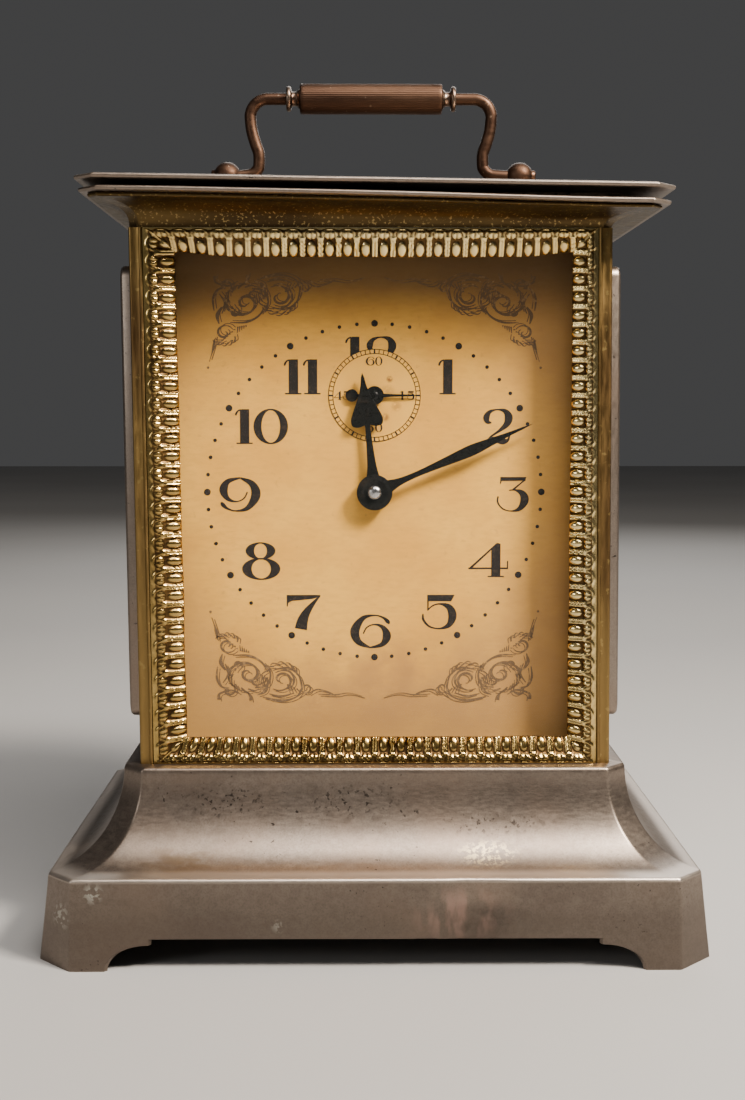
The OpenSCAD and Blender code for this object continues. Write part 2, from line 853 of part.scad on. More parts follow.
module great_wheel() {
    color("gold") {
        difference() {
            crossed_wheel(
                p_great, great_y, great_t, great_teeth[0], m_great, great_teeth[1], 90, 4, 13
            );
            rod(p_great, great_y - 1, great_y + 4, winding_r + fit);
        }
        rod(click_place(), great_y + great_t / 2, ratchet_y + ratchet_t + 0.6, 1);
    }
}

function click_place() = p_great + 11.6 * [cos(click_dir), sin(click_dir)];
click_dir = 30;
click_tip_dir = 68;

module click() {
    tip_r = ratchet_r + 0.25;
    tip = p_great + tip_r * [cos(click_tip_dir), sin(click_tip_dir)];
    color("silver") upright(ratchet_y, ratchet_t) difference() {
        union() {
            translate(click_place()) circle(2.1);
            polygon([
                click_place() + 2 * [cos(click_dir + 4), sin(click_dir + 4)],
                p_great + (ratchet_r + 2.6) * [cos(click_tip_dir - 6), sin(click_tip_dir - 6)],
                p_great + (ratchet_r + 1.5) * [cos(click_tip_dir), sin(click_tip_dir)],
                tip,
                p_great + (ratchet_r + 0.35) * [cos(click_tip_dir - 9), sin(click_tip_dir - 9)],
                click_place() + 1.9 * [cos(click_dir + 150), sin(click_dir + 150)]
            ]);
        }
        translate(click_place()) circle(1 + fit);
    }
}

module click_spring() {
    color("steelblue") {
        rod(p_great + 12 * [cos(120), sin(120)], great_y + great_t, ratchet_y + ratchet_t, 0.8);
        upright(ratchet_y, ratchet_t) translate(p_great)
            arc_strip(ratchet_r + 4.1, 0.3, click_tip_dir - 4, 120);
    }
}

// A thin arc of the given radius and thickness between two directions
module arc_strip(r, t, from, to) {
    steps = 12;
    polygon(concat(
        [for (i = [0:steps]) let (a = from + (to - from) * i / steps) (r + t / 2) * [cos(a), sin(a)]],
        [for (i = [steps:-1:0]) let (a = from + (to - from) * i / steps) (r - t / 2) * [cos(a), sin(a)]]
    ));
}

module winding_arbor() {
    color("silver") {
        rod(p_great, front_y + 0.1, inner_y + 0.3, 1.5);
        rod(p_great, inner_y + 0.3 - eps, rear_y + 1.2, winding_r);
        rod(p_great, rear_y + 1.2 - eps, rear_y + 6, 1.7);
    }
}

module ratchet_wheel() {
    step = 360 / ratchet_teeth;
    color("gold") difference() {
        upright(ratchet_y, ratchet_t) translate(p_great) polygon([
            for (i = [0:ratchet_teeth - 1]) each [
                ratchet_r * [cos(i * step), sin(i * step)],
                (ratchet_r - 1.1) * [cos(i * step + 1), sin(i * step + 1)]
            ]
        ]);
        rod(p_great, ratchet_y - 1, ratchet_y + 3, winding_r);
    }
}

module winding_key() {
    base = rear_y + 1.4;
    color("gold") difference() {
        union() {
            rod(p_great, base, base + 8, 3);
            translate([p_great[0], base + 12.4, p_great[1]]) key_wings();
        }
        rod(p_great, base - 1, base + 4.7, 1.7);
    }
}

// Butterfly wings of the key, flat in the x-y plane
module key_wings() {
    translate([0, 0, -0.8]) linear_extrude(1.6) difference() {
        union() {
            for (side = [-1, 1]) translate([side * 6, 0.6]) circle(5);
            square([9, 9.4], center = true);
        }
        for (side = [-1, 1]) translate([side * 6.4, 0.8]) circle(2.2);
    }
}

// ---------------------------------------------------------------- going train

centre_pinion_y = [inner_y + 0.8, inner_y + 3.8];
centre_y = inner_y + 5.2;
third_y = inner_y + 9.8;
fourth_y = inner_y + 14.2;
wheel_t = 0.8;
thin_t = 0.6;
escape_y = inner_y + 17.2;
lever_y = escape_y + 1.6;
balance_y = lever_y + 2.6;
hairspring_y = balance_y + 2.5;

cannon_front = dial_y - 3.1;
hub_r = 4.4;
minute_hand_l = 42.6;
hour_hand_l = 28.4;

module centre_wheel() {
    color("gold") {
        rod(p_centre, cannon_front + 0.4, front_y, centre_front_r);
        rod(p_centre, front_y - eps, rear_y + 6, centre_arbor_r);
        pinion(p_centre, centre_pinion_y[0], centre_pinion_y[1], great_teeth[1], m_great, -90);
        crossed_wheel(
            p_centre, centre_y, wheel_t, centre_teeth[0], m_centre, centre_teeth[1],
            dir_to(p_centre, p_third), 5, 3.4
        );
        rod(p_centre, centre_y - 1, centre_y + wheel_t + 1, 2.4);
    }
}

function dir_to(a, b) = atan2(b[1] - a[1], b[0] - a[0]);

module cannon_pinion() {
    color("silver") {
        difference() {
            union() {
                rod(p_centre, cannon_front, front_y - 2.7, cannon_r);
                pinion(p_centre, front_y - 2.8, front_y - 0.3, 10, m_motion, motion_dir);
            }
            rod(p_centre, cannon_front + 0.4, front_y, centre_front_r);
        }
        // Domed end over the minute hand
        rod(p_centre, cannon_front - 0.4, cannon_front + eps, cannon_r - 0.25);
    }
}

// A long taper with a slight swelling, drawn pointing up from the origin
module minute_hand_outline() {
    edge = [
        [1.5, 3], [0.9, 6], [0.75, 10], [1.1, 16], [1.75, 24],
        [1.7, 28], [0.9, 32], [0.3, 38]
    ];
    circle(hub_r);
    polygon(concat(edge, [[0, minute_hand_l]], mirrored(edge)));
}

// A spade on a tapering stem, drawn pointing up from the origin
module hour_hand_outline() {
    edge = [
        [1.6, 3], [1.15, 6], [0.75, 12], [0.6, 15.2], [1.6, 15.6], [2.9, 15.2],
        [3.9, 16.2], [3.9, 17.6], [3.0, 19.2], [1.5, 21.8], [0.6, 24.4], [0.25, 26.4]
    ];
    circle(hub_r);
    polygon(concat(edge, [[0, hour_hand_l]], mirrored(edge)));
}

// The left edge of an outline, from its right edge
function mirrored(edge) = [for (p = back_to_front(edge)) [-p[0], p[1]]];

module minute_hand() {
    color("black") difference() {
        upright(dial_y - 2.75, 0.35) translate(p_centre)
            rotate(-minute_angle) minute_hand_outline();
        rod(p_centre, dial_y - 4, dial_y, cannon_r);
    }
}

module hour_hand() {
    color("black") difference() {
        upright(dial_y - 1.65, 0.35) translate(p_centre)
            rotate(-hour_angle) hour_hand_outline();
        rod(p_centre, dial_y - 3, dial_y, hour_pipe_r);
    }
}

module seconds_hand() {
    color("black") {
        upright(dial_y - 0.8, 0.3) translate(p_fourth) rotate(-seconds_angle) {
            edge = [[0.55, 1.5], [0.2, 5], [0.12, 9]];
            circle(2.2);
            polygon(concat(edge, [[0, 10.9]], mirrored(edge)));
            polygon([[-0.3, -5.6], [0.3, -5.6], [0.45, -1.5], [-0.45, -1.5]]);
            translate([0, -5.6]) circle(1.5);
        }
        pipe(p_fourth, dial_y - 0.5 - eps, dial_y + 1.6, 1.0, 0.5);
    }
}

module hour_wheel() {
    teeth = 32;
    color("gold") {
        pipe(p_centre, dial_y - 1.75, dial_y + 1.7, hour_pipe_r, hour_pipe_bore);
        upright(dial_y + 1.5, 0.9) translate(p_centre) difference() {
            rotate(motion_dir) toothed(
                teeth, tooth_flank(teeth * m_motion / 2, m_motion, 78 / teeth, 8)
            );
            circle(hour_pipe_bore);
        }
    }
}

module minute_wheel() {
    teeth = 30;
    color("gold") difference() {
        union() {
            upright(front_y - 2.3, 0.9) translate(p_minute) rotate(motion_dir + 180)
                toothed(teeth, tooth_flank(teeth * m_motion / 2, m_motion, 78 / teeth, 6));
            pinion(p_minute, dial_y + 1.4, front_y - 2.3 + eps, 8, m_motion, motion_dir + 180);
        }
        rod(p_minute, dial_y, front_y + 1, 0.85 + fit);
    }
}

module third_wheel() {
    color("gold") {
        arbor(p_third);
        pinion(p_third, centre_y - 1, centre_y + wheel_t + 1, centre_teeth[1], m_centre,
            dir_to(p_third, p_centre));
        crossed_wheel(
            p_third, third_y, thin_t, third_teeth[0], m_third, third_teeth[1],
            dir_to(p_third, p_fourth), 4, 2.4
        );
    }
}

module seconds_wheel() {
    color("gold") {
        arbor(p_fourth);
        rod(p_fourth, dial_y - 0.4, inner_y + 1, 0.5);
        pinion(p_fourth, third_y - 1, third_y + thin_t + 1, third_teeth[1], m_third,
            dir_to(p_fourth, p_third));
        crossed_wheel(
            p_fourth, fourth_y, thin_t, fourth_teeth[0], m_fourth, fourth_teeth[1],
            dir_to(p_fourth, p_escape), 4, 2.2
        );
    }
}

// ---------------------------------------------------------------- escapement

module escape_wheel() {
    pitch = 360 / escape_teeth;
    root_r = escape_r - 1.5;
    rim_r = escape_r - 2.2;
    hub_r = 1.3;
    spoke_w = 0.6;
    color("gold") {
        arbor(p_escape);
        pinion(p_escape, fourth_y - 1, fourth_y + thin_t + 1, fourth_teeth[1], m_fourth,
            dir_to(p_escape, p_fourth));
        upright(escape_y, thin_t) translate(p_escape)
            rotate(pallet_dir + escape_rest) difference() {
                polygon([
                    for (i = [0:escape_teeth - 1]) let (a = i * pitch) each [
                        escape_r * [cos(a), sin(a)],
                        root_r * [cos(a + 5), sin(a + 5)],
                        root_r * [cos(a + 15), sin(a + 15)],
                        escape_r * [cos(a + pitch - 2.4), sin(a + pitch - 2.4)]
                    ]
                ]);
                difference() {
                    circle(rim_r);
                    circle(hub_r);
                    for (i = [0:3]) rotate(i * 90) translate([0, -spoke_w / 2])
                        square([escape_r - 0.5, spoke_w]);
                }
            }
    }
}

pin_r = 0.25;

module pallet_lever() {
    clear = 0.14;
    function pin_place(side) = p_escape + (escape_r + pin_r + clear)
        * [cos(pallet_dir + side * pallet_span), sin(pallet_dir + side * pallet_span)];
    fork_r = lever_l - roller_pin_r - pin_r - 0.2;
    color("silver") {
        arbor(p_lever);
        upright(lever_y, 0.7) {
            for (side = [-1, 1]) hull() {
                translate(p_lever) circle(1.1, $fn = 24);
                translate(pin_place(side)) circle(0.6, $fn = 24);
            }
            translate(p_lever) rotate(pallet_dir) difference() {
                polygon([[0, -0.8], [fork_r - 2, -0.5], [fork_r, -1], [fork_r, 1],
                    [fork_r - 2, 0.5], [0, 0.8]]);
                translate([fork_r - 1.2, -0.35]) square([2, 0.7]);
            }
        }
        for (side = [-1, 1]) rod(pin_place(side), escape_y - 0.5, lever_y + eps, pin_r);
    }
}

roller_pin_r = 1.8;
balance_r = 9.6;
balance_t = 1.2;

module balance_wheel() {
    color("gold") {
        rod(p_balance, front_y + 1.4, back_y + 0.2, 0.55);
        upright(balance_y, balance_t) translate(p_balance) {
            difference() {
                circle(balance_r);
                circle(balance_r - 1.3);
            }
            rotate(pallet_dir) translate([-balance_r + 0.6, -0.6])
                square([2 * balance_r - 1.2, 1.2]);
            circle(1.8);
        }
        rod(p_balance, balance_y - 1, balance_y, 1.3);
        rod(p_balance - roller_pin_r * [cos(pallet_dir), sin(pallet_dir)],
            lever_y, balance_y + eps, pin_r);
        // Collet of the hairspring
        rod(p_balance, hairspring_y - 0.2, hairspring_y + 1, 1.1);
    }
}

module balance_screws() {
    color("steelblue") {
        difference() {
            union() {
                rod(p_balance, front_y - 0.4, front_y + 2.6, 1.55);
                rod(p_balance, front_y - 0.9, front_y - 0.4 + eps, 2.2);
            }
            rod(p_balance, front_y + 1.2, front_y + 4, 0.55 + fit);
        }
        difference() {
            union() {
                rod(p_balance, back_y - 0.8, rear_y + 1.6, 1.55);
                rod(p_balance, rear_y + 1.6 - eps, rear_y + 2.4, 2.2);
            }
            rod(p_balance, back_y - 3, back_y + 0.4, 0.55 + fit);
            upright(rear_y + 2, 1) translate(p_balance) square([6, 0.5], center = true);
        }
    }
}

curb_r = 6.2;

function stud_place() = p_balance + (curb_r + 0.4) * [cos(20), sin(20)];

module hairspring() {
    turns = 4.5;
    inner_r = 1.3;
    strip_t = 0.14;
    strip_w = 0.7;
    // The strip winds outward to the curb circle, then follows it on to the stud
    outer_from = 130;
    stud_end = 26;
    arc_steps = 12;
    gain = (inner_r - curb_r) / turns;
    function edge(side) = concat(
        spiral_points(inner_r, gain, -turns, outer_from + 360 * turns, turns * 24, side),
        [for (i = [1:arc_steps]) let (a = outer_from + (stud_end - outer_from) * i / arc_steps)
            (curb_r + side) * [cos(a), sin(a)]]
    );
    color("steelblue") upright(hairspring_y, strip_w) translate(p_balance)
        polygon(concat(edge(strip_t / 2), back_to_front(edge(-strip_t / 2))));
}

module hairspring_stud() {
    color("silver") {
        rod(stud_place(), hairspring_y - 0.3, back_y, 0.3);
        rod(stud_place(), back_y - eps, rear_y + 0.05, 0.58);
        rod(stud_place(), rear_y + 0.02, rear_y + 0.15, 0.9);
    }
}

module regulator() {
    front = rear_y + 0.2;
    color("silver") {
        upright(front, 0.7) translate(p_balance) difference() {
            union() {
                circle(3.4);
                polygon([[-1, 2], [-1.3, curb_r + 1.3], [-0.5, 11.4], [0, 12.6], [0.5, 11.4],
                    [1.3, curb_r + 1.3], [1, 2]]);
            }
            circle(1.55 + fit);
        }
        for (side = [-1, 1]) rod(
            p_balance + [0, curb_r + side * 0.5], hairspring_y - 0.2, front + eps, 0.25
        );
    }
}

module set_knob() {
    front = rear_y + 2.2;
    color("gold") difference() {
        upright(front, 5) translate(p_centre) union() {
            circle(5.2);
            for (i = [0:23]) rotate(i * 15) translate([5.2, 0]) circle(0.45, $fn = 8);
        }
        rod(p_centre, front - 1, rear_y + 6, centre_arbor_r);
    }
}

base_shell();
case_floor();
base_screws();
corner_post_front_left();
corner_post_front_right();
corner_post_rear_left();
corner_post_rear_right();
side_panel_left();
side_panel_right();
rear_frame();
bezel();
front_glass();
glass_clips();
dial_plate();
dial_paper();
cornice();
cornice_plate();
top_plate();
handle_posts();
handle_nuts();
handle_arm_left();
handle_arm_right();
handle_ferrules();
handle_grip();
rear_door();
door_hinge_leaf();
door_knob();
case_hinge_leaf();
hinge_pin();
mounting_frame();
movement_screws();
front_plate();
back_plate();
plate_pillars();
pillar_nuts();
minute_wheel_stud();
mainspring();
great_wheel();
click();
click_spring();
winding_arbor();
ratchet_wheel();
winding_key();
centre_wheel();
cannon_pinion();
minute_hand();
set_knob();
hour_wheel();
hour_hand();
minute_wheel();
third_wheel();
seconds_wheel();
seconds_hand();
escape_wheel();
pallet_lever();
balance_wheel();
balance_screws();
hairspring();
hairspring_stud();
regulator();
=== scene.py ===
"""A small tin-cased carriage clock: what is seen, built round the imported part. Lengths are in millimetres."""
import json
import math

import bmesh
import bpy
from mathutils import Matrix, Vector, noise


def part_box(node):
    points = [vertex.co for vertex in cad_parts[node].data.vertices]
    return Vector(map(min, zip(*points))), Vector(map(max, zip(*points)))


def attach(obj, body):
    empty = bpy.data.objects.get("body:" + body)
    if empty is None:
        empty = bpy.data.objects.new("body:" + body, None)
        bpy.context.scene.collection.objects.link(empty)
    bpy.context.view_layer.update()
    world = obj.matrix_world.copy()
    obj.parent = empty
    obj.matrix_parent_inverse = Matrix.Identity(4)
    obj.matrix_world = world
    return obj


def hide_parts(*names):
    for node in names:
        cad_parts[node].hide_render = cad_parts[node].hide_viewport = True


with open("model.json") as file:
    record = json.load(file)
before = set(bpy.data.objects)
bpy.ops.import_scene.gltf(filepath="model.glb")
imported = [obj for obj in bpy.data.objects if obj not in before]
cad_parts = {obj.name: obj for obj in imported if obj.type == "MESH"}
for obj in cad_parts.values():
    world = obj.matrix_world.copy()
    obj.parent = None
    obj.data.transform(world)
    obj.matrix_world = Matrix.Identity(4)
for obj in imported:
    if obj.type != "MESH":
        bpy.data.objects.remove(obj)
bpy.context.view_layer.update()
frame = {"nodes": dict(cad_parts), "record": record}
MM = 0.001


def box_mm(node):
    """Lowest and highest corners of a CAD node."""
    low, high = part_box(node)
    return low / MM, high / MM


# Levels and half-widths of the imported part
BASE_HIGH = box_mm("base_shell")[1]
FOOT_X = BASE_HIGH.x
BASE_TOP = BASE_HIGH.z
APRON_TOP = 21.2
POST_LOW, POST_HIGH = box_mm("corner_post_front_right")
BODY_X = POST_HIGH.x
BODY_FRONT = POST_LOW.y
BODY_TOP = POST_HIGH.z
DEPTH_LESS = BODY_X + BODY_FRONT
PAPER_LOW, PAPER_HIGH = box_mm("dial_paper")
PAPER_Y = PAPER_LOW.y
KNOB_LOW, KNOB_HIGH = box_mm("set_knob")
DIAL_Z = KNOB_LOW.z / 2 + KNOB_HIGH.z / 2
SECONDS_Z = DIAL_Z + 23.8
GRIP_LOW, GRIP_HIGH = box_mm("handle_grip")
TOP_LOW, TOP_HIGH = box_mm("top_plate")
LOWER_LOW, LOWER_HIGH = box_mm("cornice_plate")
CORNICE_HIGH = box_mm("cornice")[1]
WINDOW_X = 47.5
WINDOW_LOW = BASE_TOP + 5.5
WINDOW_HIGH = WINDOW_LOW + 118.3
WINDOW_MID = (WINDOW_LOW + WINDOW_HIGH) / 2


# ------------------------------------------------------------------ curves

def smooth(t):
    t = min(1.0, max(0.0, t))
    return t * t * (3 - 2 * t)


def bell(t):
    return math.exp(-t * t)


def blend(a, b, t):
    return [p + (q - p) * t for p, q in zip(a, b)]


def through(points, steps=6, closed=False):
    """A Catmull-Rom curve through points of any dimension."""
    count = len(points)
    spans = count if closed else count - 1
    out = []
    for i in range(spans):
        if closed:
            a, b, c, d = (points[(i + k) % count] for k in (-1, 0, 1, 2))
        else:
            a, b, c, d = (points[min(max(i + k, 0), count - 1)] for k in (-1, 0, 1, 2))
        for s in range(steps):
            t = s / steps
            out.append([
                0.5 * (2 * q + (r - p) * t + (2 * p - 5 * q + 4 * r - u) * t * t
                       + (3 * q - p - 3 * r + u) * t ** 3)
                for p, q, r, u in zip(a, b, c, d)
            ])
    if not closed:
        out.append(list(points[-1]))
    return out


def arc(cx, cz, r, start, end, steps):
    """Points of a circle's arc, angles in degrees anticlockwise from +x."""
    out = []
    for i in range(steps + 1):
        a = math.radians(start + (end - start) * i / steps)
        out.append([cx + r * math.cos(a), cz + r * math.sin(a)])
    return out


# ------------------------------------------------------------------ meshes

class Shape:
    """Points in millimetres and the faces between them."""

    def __init__(self):
        self.points = []
        self.faces = []
        self.values = []

    def add(self, points, faces, values=None):
        first = len(self.points)
        self.points += [tuple(p) for p in points]
        self.faces += [[first + i for i in f] for f in faces]
        self.values += values or [0.0] * len(points)

    def skin(self, rings, loop=True, turn=False, caps=False, values=None):
        """Faces between rings of equal length. loop closes a ring, turn joins the last to the first."""
        n = len(rings[0])
        faces = []
        for i in range(len(rings) if turn else len(rings) - 1):
            a, b = i * n, (i + 1) % len(rings) * n
            for j in range(n if loop else n - 1):
                k = (j + 1) % n
                faces.append([a + j, a + k, b + k, b + j])
        if caps:
            faces.append(list(range(n))[::-1])
            faces.append(list(range((len(rings) - 1) * n, len(rings) * n)))
        self.add([p for ring in rings for p in ring], faces, values)

    def slab(self, outline, front, back):
        """A closed outline in the x-z plane, solid from y = front to y = back."""
        self.skin([[(x, y, z) for x, z in outline] for y in (front, back)], caps=True)

    def ring_slab(self, outer, inner, front, back):
        """The same between two outlines with equal numbers of points."""
        loops = [(outer, front), (inner, front), (inner, back), (outer, back)]
        self.skin([[(x, y, z) for x, z in line] for line, y in loops], turn=True)

    def lathe(self, profile, at, axis, sides=48, wave=None):
        """A solid of revolution. profile is [along, radius]; axis is 0 for x, 1 for y and 2 for z."""
        u, v = [(1, 2), (2, 0), (0, 1)][axis]
        rings = []
        for along, radius in profile:
            ring = []
            for i in range(sides):
                a = 2 * math.pi * i / sides
                r = radius * (wave(i, along) if wave else 1)
                p = [0, 0, 0]
                p[axis] = at[axis] + along
                p[u] = at[u] + r * math.cos(a)
                p[v] = at[v] + r * math.sin(a)
                ring.append(p)
            rings.append(ring)
        self.skin(rings, caps=True)

    def tube(self, line, radius, sides=20):
        """A round rod along 3-D points that keep to a plane of constant y."""
        rings = []
        for i, p in enumerate(line):
            ahead = Vector(line[min(i + 1, len(line) - 1)]) - Vector(line[max(i - 1, 0)])
            ahead.normalize()
            flat = Vector((0, 1, 0))
            side = ahead.cross(flat)
            turns = [2 * math.pi * j / sides for j in range(sides)]
            rings.append([Vector(p) + radius * (math.cos(a) * side + math.sin(a) * flat)
                          for a in turns])
        self.skin(rings, caps=True)

    def make(self, name, material, body, replaces=(), slot=None, sharp=38, bevel=0.0):
        """Turns the shape into a piece that rides on a body. sharp is in degrees, bevel in mm."""
        mesh = bpy.data.meshes.new(name)
        mesh.from_pydata([tuple(c * MM for c in p) for p in self.points], [], self.faces)
        if any(self.values):
            relief = mesh.attributes.new("relief", "FLOAT", "POINT")
            relief.data.foreach_set("value", self.values)
        work = bmesh.new()
        work.from_mesh(mesh)
        bmesh.ops.recalc_face_normals(work, faces=work.faces)
        work.to_mesh(mesh)
        work.free()
        mesh.polygons.foreach_set("use_smooth", [True] * len(mesh.polygons))
        mesh.set_sharp_from_angle(angle=math.radians(sharp))
        mesh.materials.append(material)
        piece = bpy.data.objects.new(name, mesh)
        bpy.context.scene.collection.objects.link(piece)
        if bevel:
            edge = piece.modifiers.new("edge", "BEVEL")
            edge.width = bevel * MM
            edge.segments = 2
            edge.limit_method = "ANGLE"
            edge.angle_limit = math.radians(40)
            edge.use_clamp_overlap = True
        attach(piece, body)
        if replaces:
            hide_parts(*replaces)
        return piece


# ------------------------------------------------------------------ materials

class Look:
    """A Principled material built from object-space noise. Sizes are in millimetres."""

    def __init__(self, name, metallic=0.0, roughness=0.5, specular=0.5):
        self.material = bpy.data.materials.new(name)
        self.material.use_nodes = True
        self.tree = self.material.node_tree
        self.shader = self.tree.nodes["Principled BSDF"]
        self.shader.inputs["Metallic"].default_value = metallic
        self.shader.inputs["Roughness"].default_value = roughness
        self.shader.inputs["Specular IOR Level"].default_value = specular
        self.place = self.tree.nodes.new("ShaderNodeTexCoord").outputs["Object"]

    def node(self, kind, inputs=(), **settings):
        made = self.tree.nodes.new(kind)
        for key, value in settings.items():
            setattr(made, key, value)
        for key, value in dict(inputs).items():
            self.feed(made.inputs[key], value)
        return made

    def feed(self, socket, value):
        """Links a socket to an output, or sets it to a number or colour."""
        if isinstance(value, bpy.types.NodeSocket):
            self.tree.links.new(value, socket)
        elif socket.type == "RGBA":
            socket.default_value = (*value, 1)
        else:
            socket.default_value = value

    def noise(self, size, stretch=(1, 1, 1), detail=3.0, shift=0.0):
        """Noise whose grain is size mm, and stretch times that on each axis."""
        mapping = self.node("ShaderNodeMapping", {
            "Scale": [1 / (size * MM * s) for s in stretch],
            "Location": (shift, shift * 1.7, shift * 2.3), "Vector": self.place})
        made = self.node("ShaderNodeTexNoise", {
            "Scale": 1.0, "Detail": detail, "Vector": mapping.outputs["Vector"]})
        return made.outputs["Fac"]

    def relief(self):
        return self.node("ShaderNodeAttribute", attribute_name="relief").outputs["Fac"]

    def near(self, centre, radii):
        """1 at a place given in mm, fading to 0 at its radii."""
        mapping = self.node("ShaderNodeMapping", {
            "Scale": [1 / (r * MM) for r in radii],
            "Location": [-c / r for c, r in zip(centre, radii)], "Vector": self.place})
        length = self.node("ShaderNodeVectorMath", {0: mapping.outputs["Vector"]}, operation="LENGTH")
        return self.span(length.outputs["Value"], 1.0, 0.25)

    def span(self, value, low, high, to_low=0.0, to_high=1.0):
        made = self.node("ShaderNodeMapRange", {
            "From Min": low, "From Max": high, "To Min": to_low, "To Max": to_high,
            "Value": value}, interpolation_type="SMOOTHSTEP")
        return made.outputs["Result"]

    def patches(self, size, low, high, *stretch_and_detail, **more):
        """Noise cut off smoothly between two levels."""
        return self.span(self.noise(size, *stretch_and_detail, **more), low, high)

    def maths(self, operation, a, b):
        return self.node("ShaderNodeMath", {0: a, 1: b}, operation=operation).outputs["Value"]

    def times(self, a, b):
        return self.maths("MULTIPLY", a, b)

    def mix(self, factor, a, b):
        made = self.node("ShaderNodeMix", {"Factor": factor, 6: a, 7: b}, data_type="RGBA")
        return made.outputs[2]

    def over(self, base, colour, *masks):
        """A colour laid over a base, as far as one mask or the product of two."""
        return self.mix(self.times(*masks) if len(masks) > 1 else masks[0], base, colour)

    def colour(self, source):
        self.feed(self.shader.inputs["Base Color"], source)

    def roughness(self, source):
        self.feed(self.shader.inputs["Roughness"], source)

    def bump(self, height, depth, strength=1.0):
        made = self.node("ShaderNodeBump", {"Strength": strength, "Distance": depth * MM, "Height": height})
        self.feed(self.shader.inputs["Normal"], made.outputs["Normal"])


def worn_metal(name, light, dark, spot, rough, grain=(1, 1, 1), grain_size=1.2, patch=14, spots=0.66):
    """Metal with broad patches, fine grain and small tarnish spots."""
    look = Look(name, metallic=1.0)
    base = look.mix(look.patches(patch, 0.32, 0.7, grain, 4, shift=3.0), light, dark)
    pits = look.patches(grain_size * 1.6, spots, spots + 0.07, detail=2, shift=8.0)
    look.colour(look.over(base, spot, pits, 0.75))
    fine = look.noise(grain_size, grain, 5, shift=5.0)
    look.roughness(look.span(fine, 0.25, 0.75, rough - 0.07, rough + 0.13))
    look.bump(fine, 0.03, 0.35)
    return look.material


PIT = (0.05, 0.04, 0.035)


def nickel_look(name, streak, worn=0.3):
    """Warm grey nickel: satin, finely mottled, with faint streaks, dark pits and a few stains."""
    look = Look(name, metallic=1.0)
    broad = look.patches(8, 0.3, 0.7, streak, 2, shift=1.0)
    base = look.mix(broad, (0.27, 0.224, 0.186), (0.24, 0.198, 0.163))
    mottle = look.patches(1.6, 0.36, 0.66, detail=5, shift=13.0)
    base = look.over(base, (0.175, 0.138, 0.112), mottle, worn)
    grain = look.patches(0.45, 0.40, 0.70, detail=3, shift=17.0)
    base = look.over(base, (0.13, 0.104, 0.086), grain, worn)
    warm = look.patches(30, 0.45, 0.7, detail=2, shift=9.0)
    base = look.over(base, (0.27, 0.195, 0.145), warm, 0.45)
    pits = look.patches(1.1, 0.67, 0.72, detail=3, shift=4.0)
    where = look.patches(24, 0.47, 0.62, detail=1, shift=6.0)
    look.base = look.over(base, PIT, pits, where)
    look.colour(look.base)
    fine = look.noise(0.6, [1 + (k - 1) * 0.25 for k in streak], 4, shift=2.0)
    look.roughness(look.span(fine, 0.25, 0.75, 0.36, 0.43))
    look.bump(fine, 0.015, 0.12)
    return look


PALE_SPOTS = [
    ((-75, -56, 12), 4.6), ((-66, -58, 18), 3.4), ((-22.8, -58.5, 10.4), 2.3), ((-52, -58, 16.5), 1.4),
    ((-40, -52, 27), 5.0), ((-34, -52, 28), 4.0), ((-14, -52, 26), 4.2),
]
PITTED = [((-36, -44, 36), (16, 9, 6)), ((-6, -44, 36), (18, 9, 6)), ((28, -46, 31), (22, 9, 3.5))]


def base_look():
    """The nickel of the base, with its own stains and spots of corrosion, painted shade darkening it towards
    the bottom, a painted highlight along the apron's top edge and a painted orange reflection in streaks by the
    dent.
    """
    look = nickel_look("base_nickel", (12, 12, 1), worn=0.42)
    base = look.base
    stain = look.times(look.near((-46, -54, 24), (17, 14, 3.4)),
                       look.patches(2.6, 0.38, 0.60, (2, 1, 1), 4, shift=12))
    base = look.over(base, (0.15, 0.105, 0.065), stain, 0.8)
    base = look.over(base, (0.72, 0.58, 0.34), look.near((27, -54, 25), (10, 16, 3.4)),
                     look.patches(0.9, 0.48, 0.58, detail=4, shift=15))
    pale = look.patches(1.4, 0.49, 0.56, detail=4, shift=18)
    for centre, radius in PALE_SPOTS:
        spot = look.times(look.near(centre, (radius,) * 3), pale)
        base = look.over(base, (0.70, 0.69, 0.60), spot, 0.8)
    pits = look.patches(1.0, 0.58, 0.64, detail=3, shift=21)
    for centre, radii in PITTED:
        base = look.over(base, PIT, look.near(centre, radii), pits)
    # Painted shade: the base is darker towards the bottom.
    painted_low_shade = look.near((0, 0, 4), (500, 500, 20))
    base = look.over(base, (0.105, 0.084, 0.068), painted_low_shade, 0.62)
    smudge = look.patches(13, 0.48, 0.62, (2, 2, 1), 4, shift=27.0)
    base = look.over(base, (0.11, 0.085, 0.07), smudge, 0.24)
    # Painted orange reflection: warm vertical streaks beside the dent.
    painted_orange_reflection = look.times(look.near((20, -58, 13), (14, 20, 8)),
                        look.patches(3.5, 0.45, 0.65, (1, 1, 3), 3, shift=33.0))
    base = look.over(base, (0.42, 0.27, 0.22), painted_orange_reflection, 0.55)
    # Painted highlight along the rounded top edge of the apron.
    painted_edge_highlight = look.near((0, 0, APRON_TOP - 0.1), (600, 600, 1.1))
    look.colour(look.over(base, (0.60, 0.52, 0.45), painted_edge_highlight, 0.75))
    return look.material


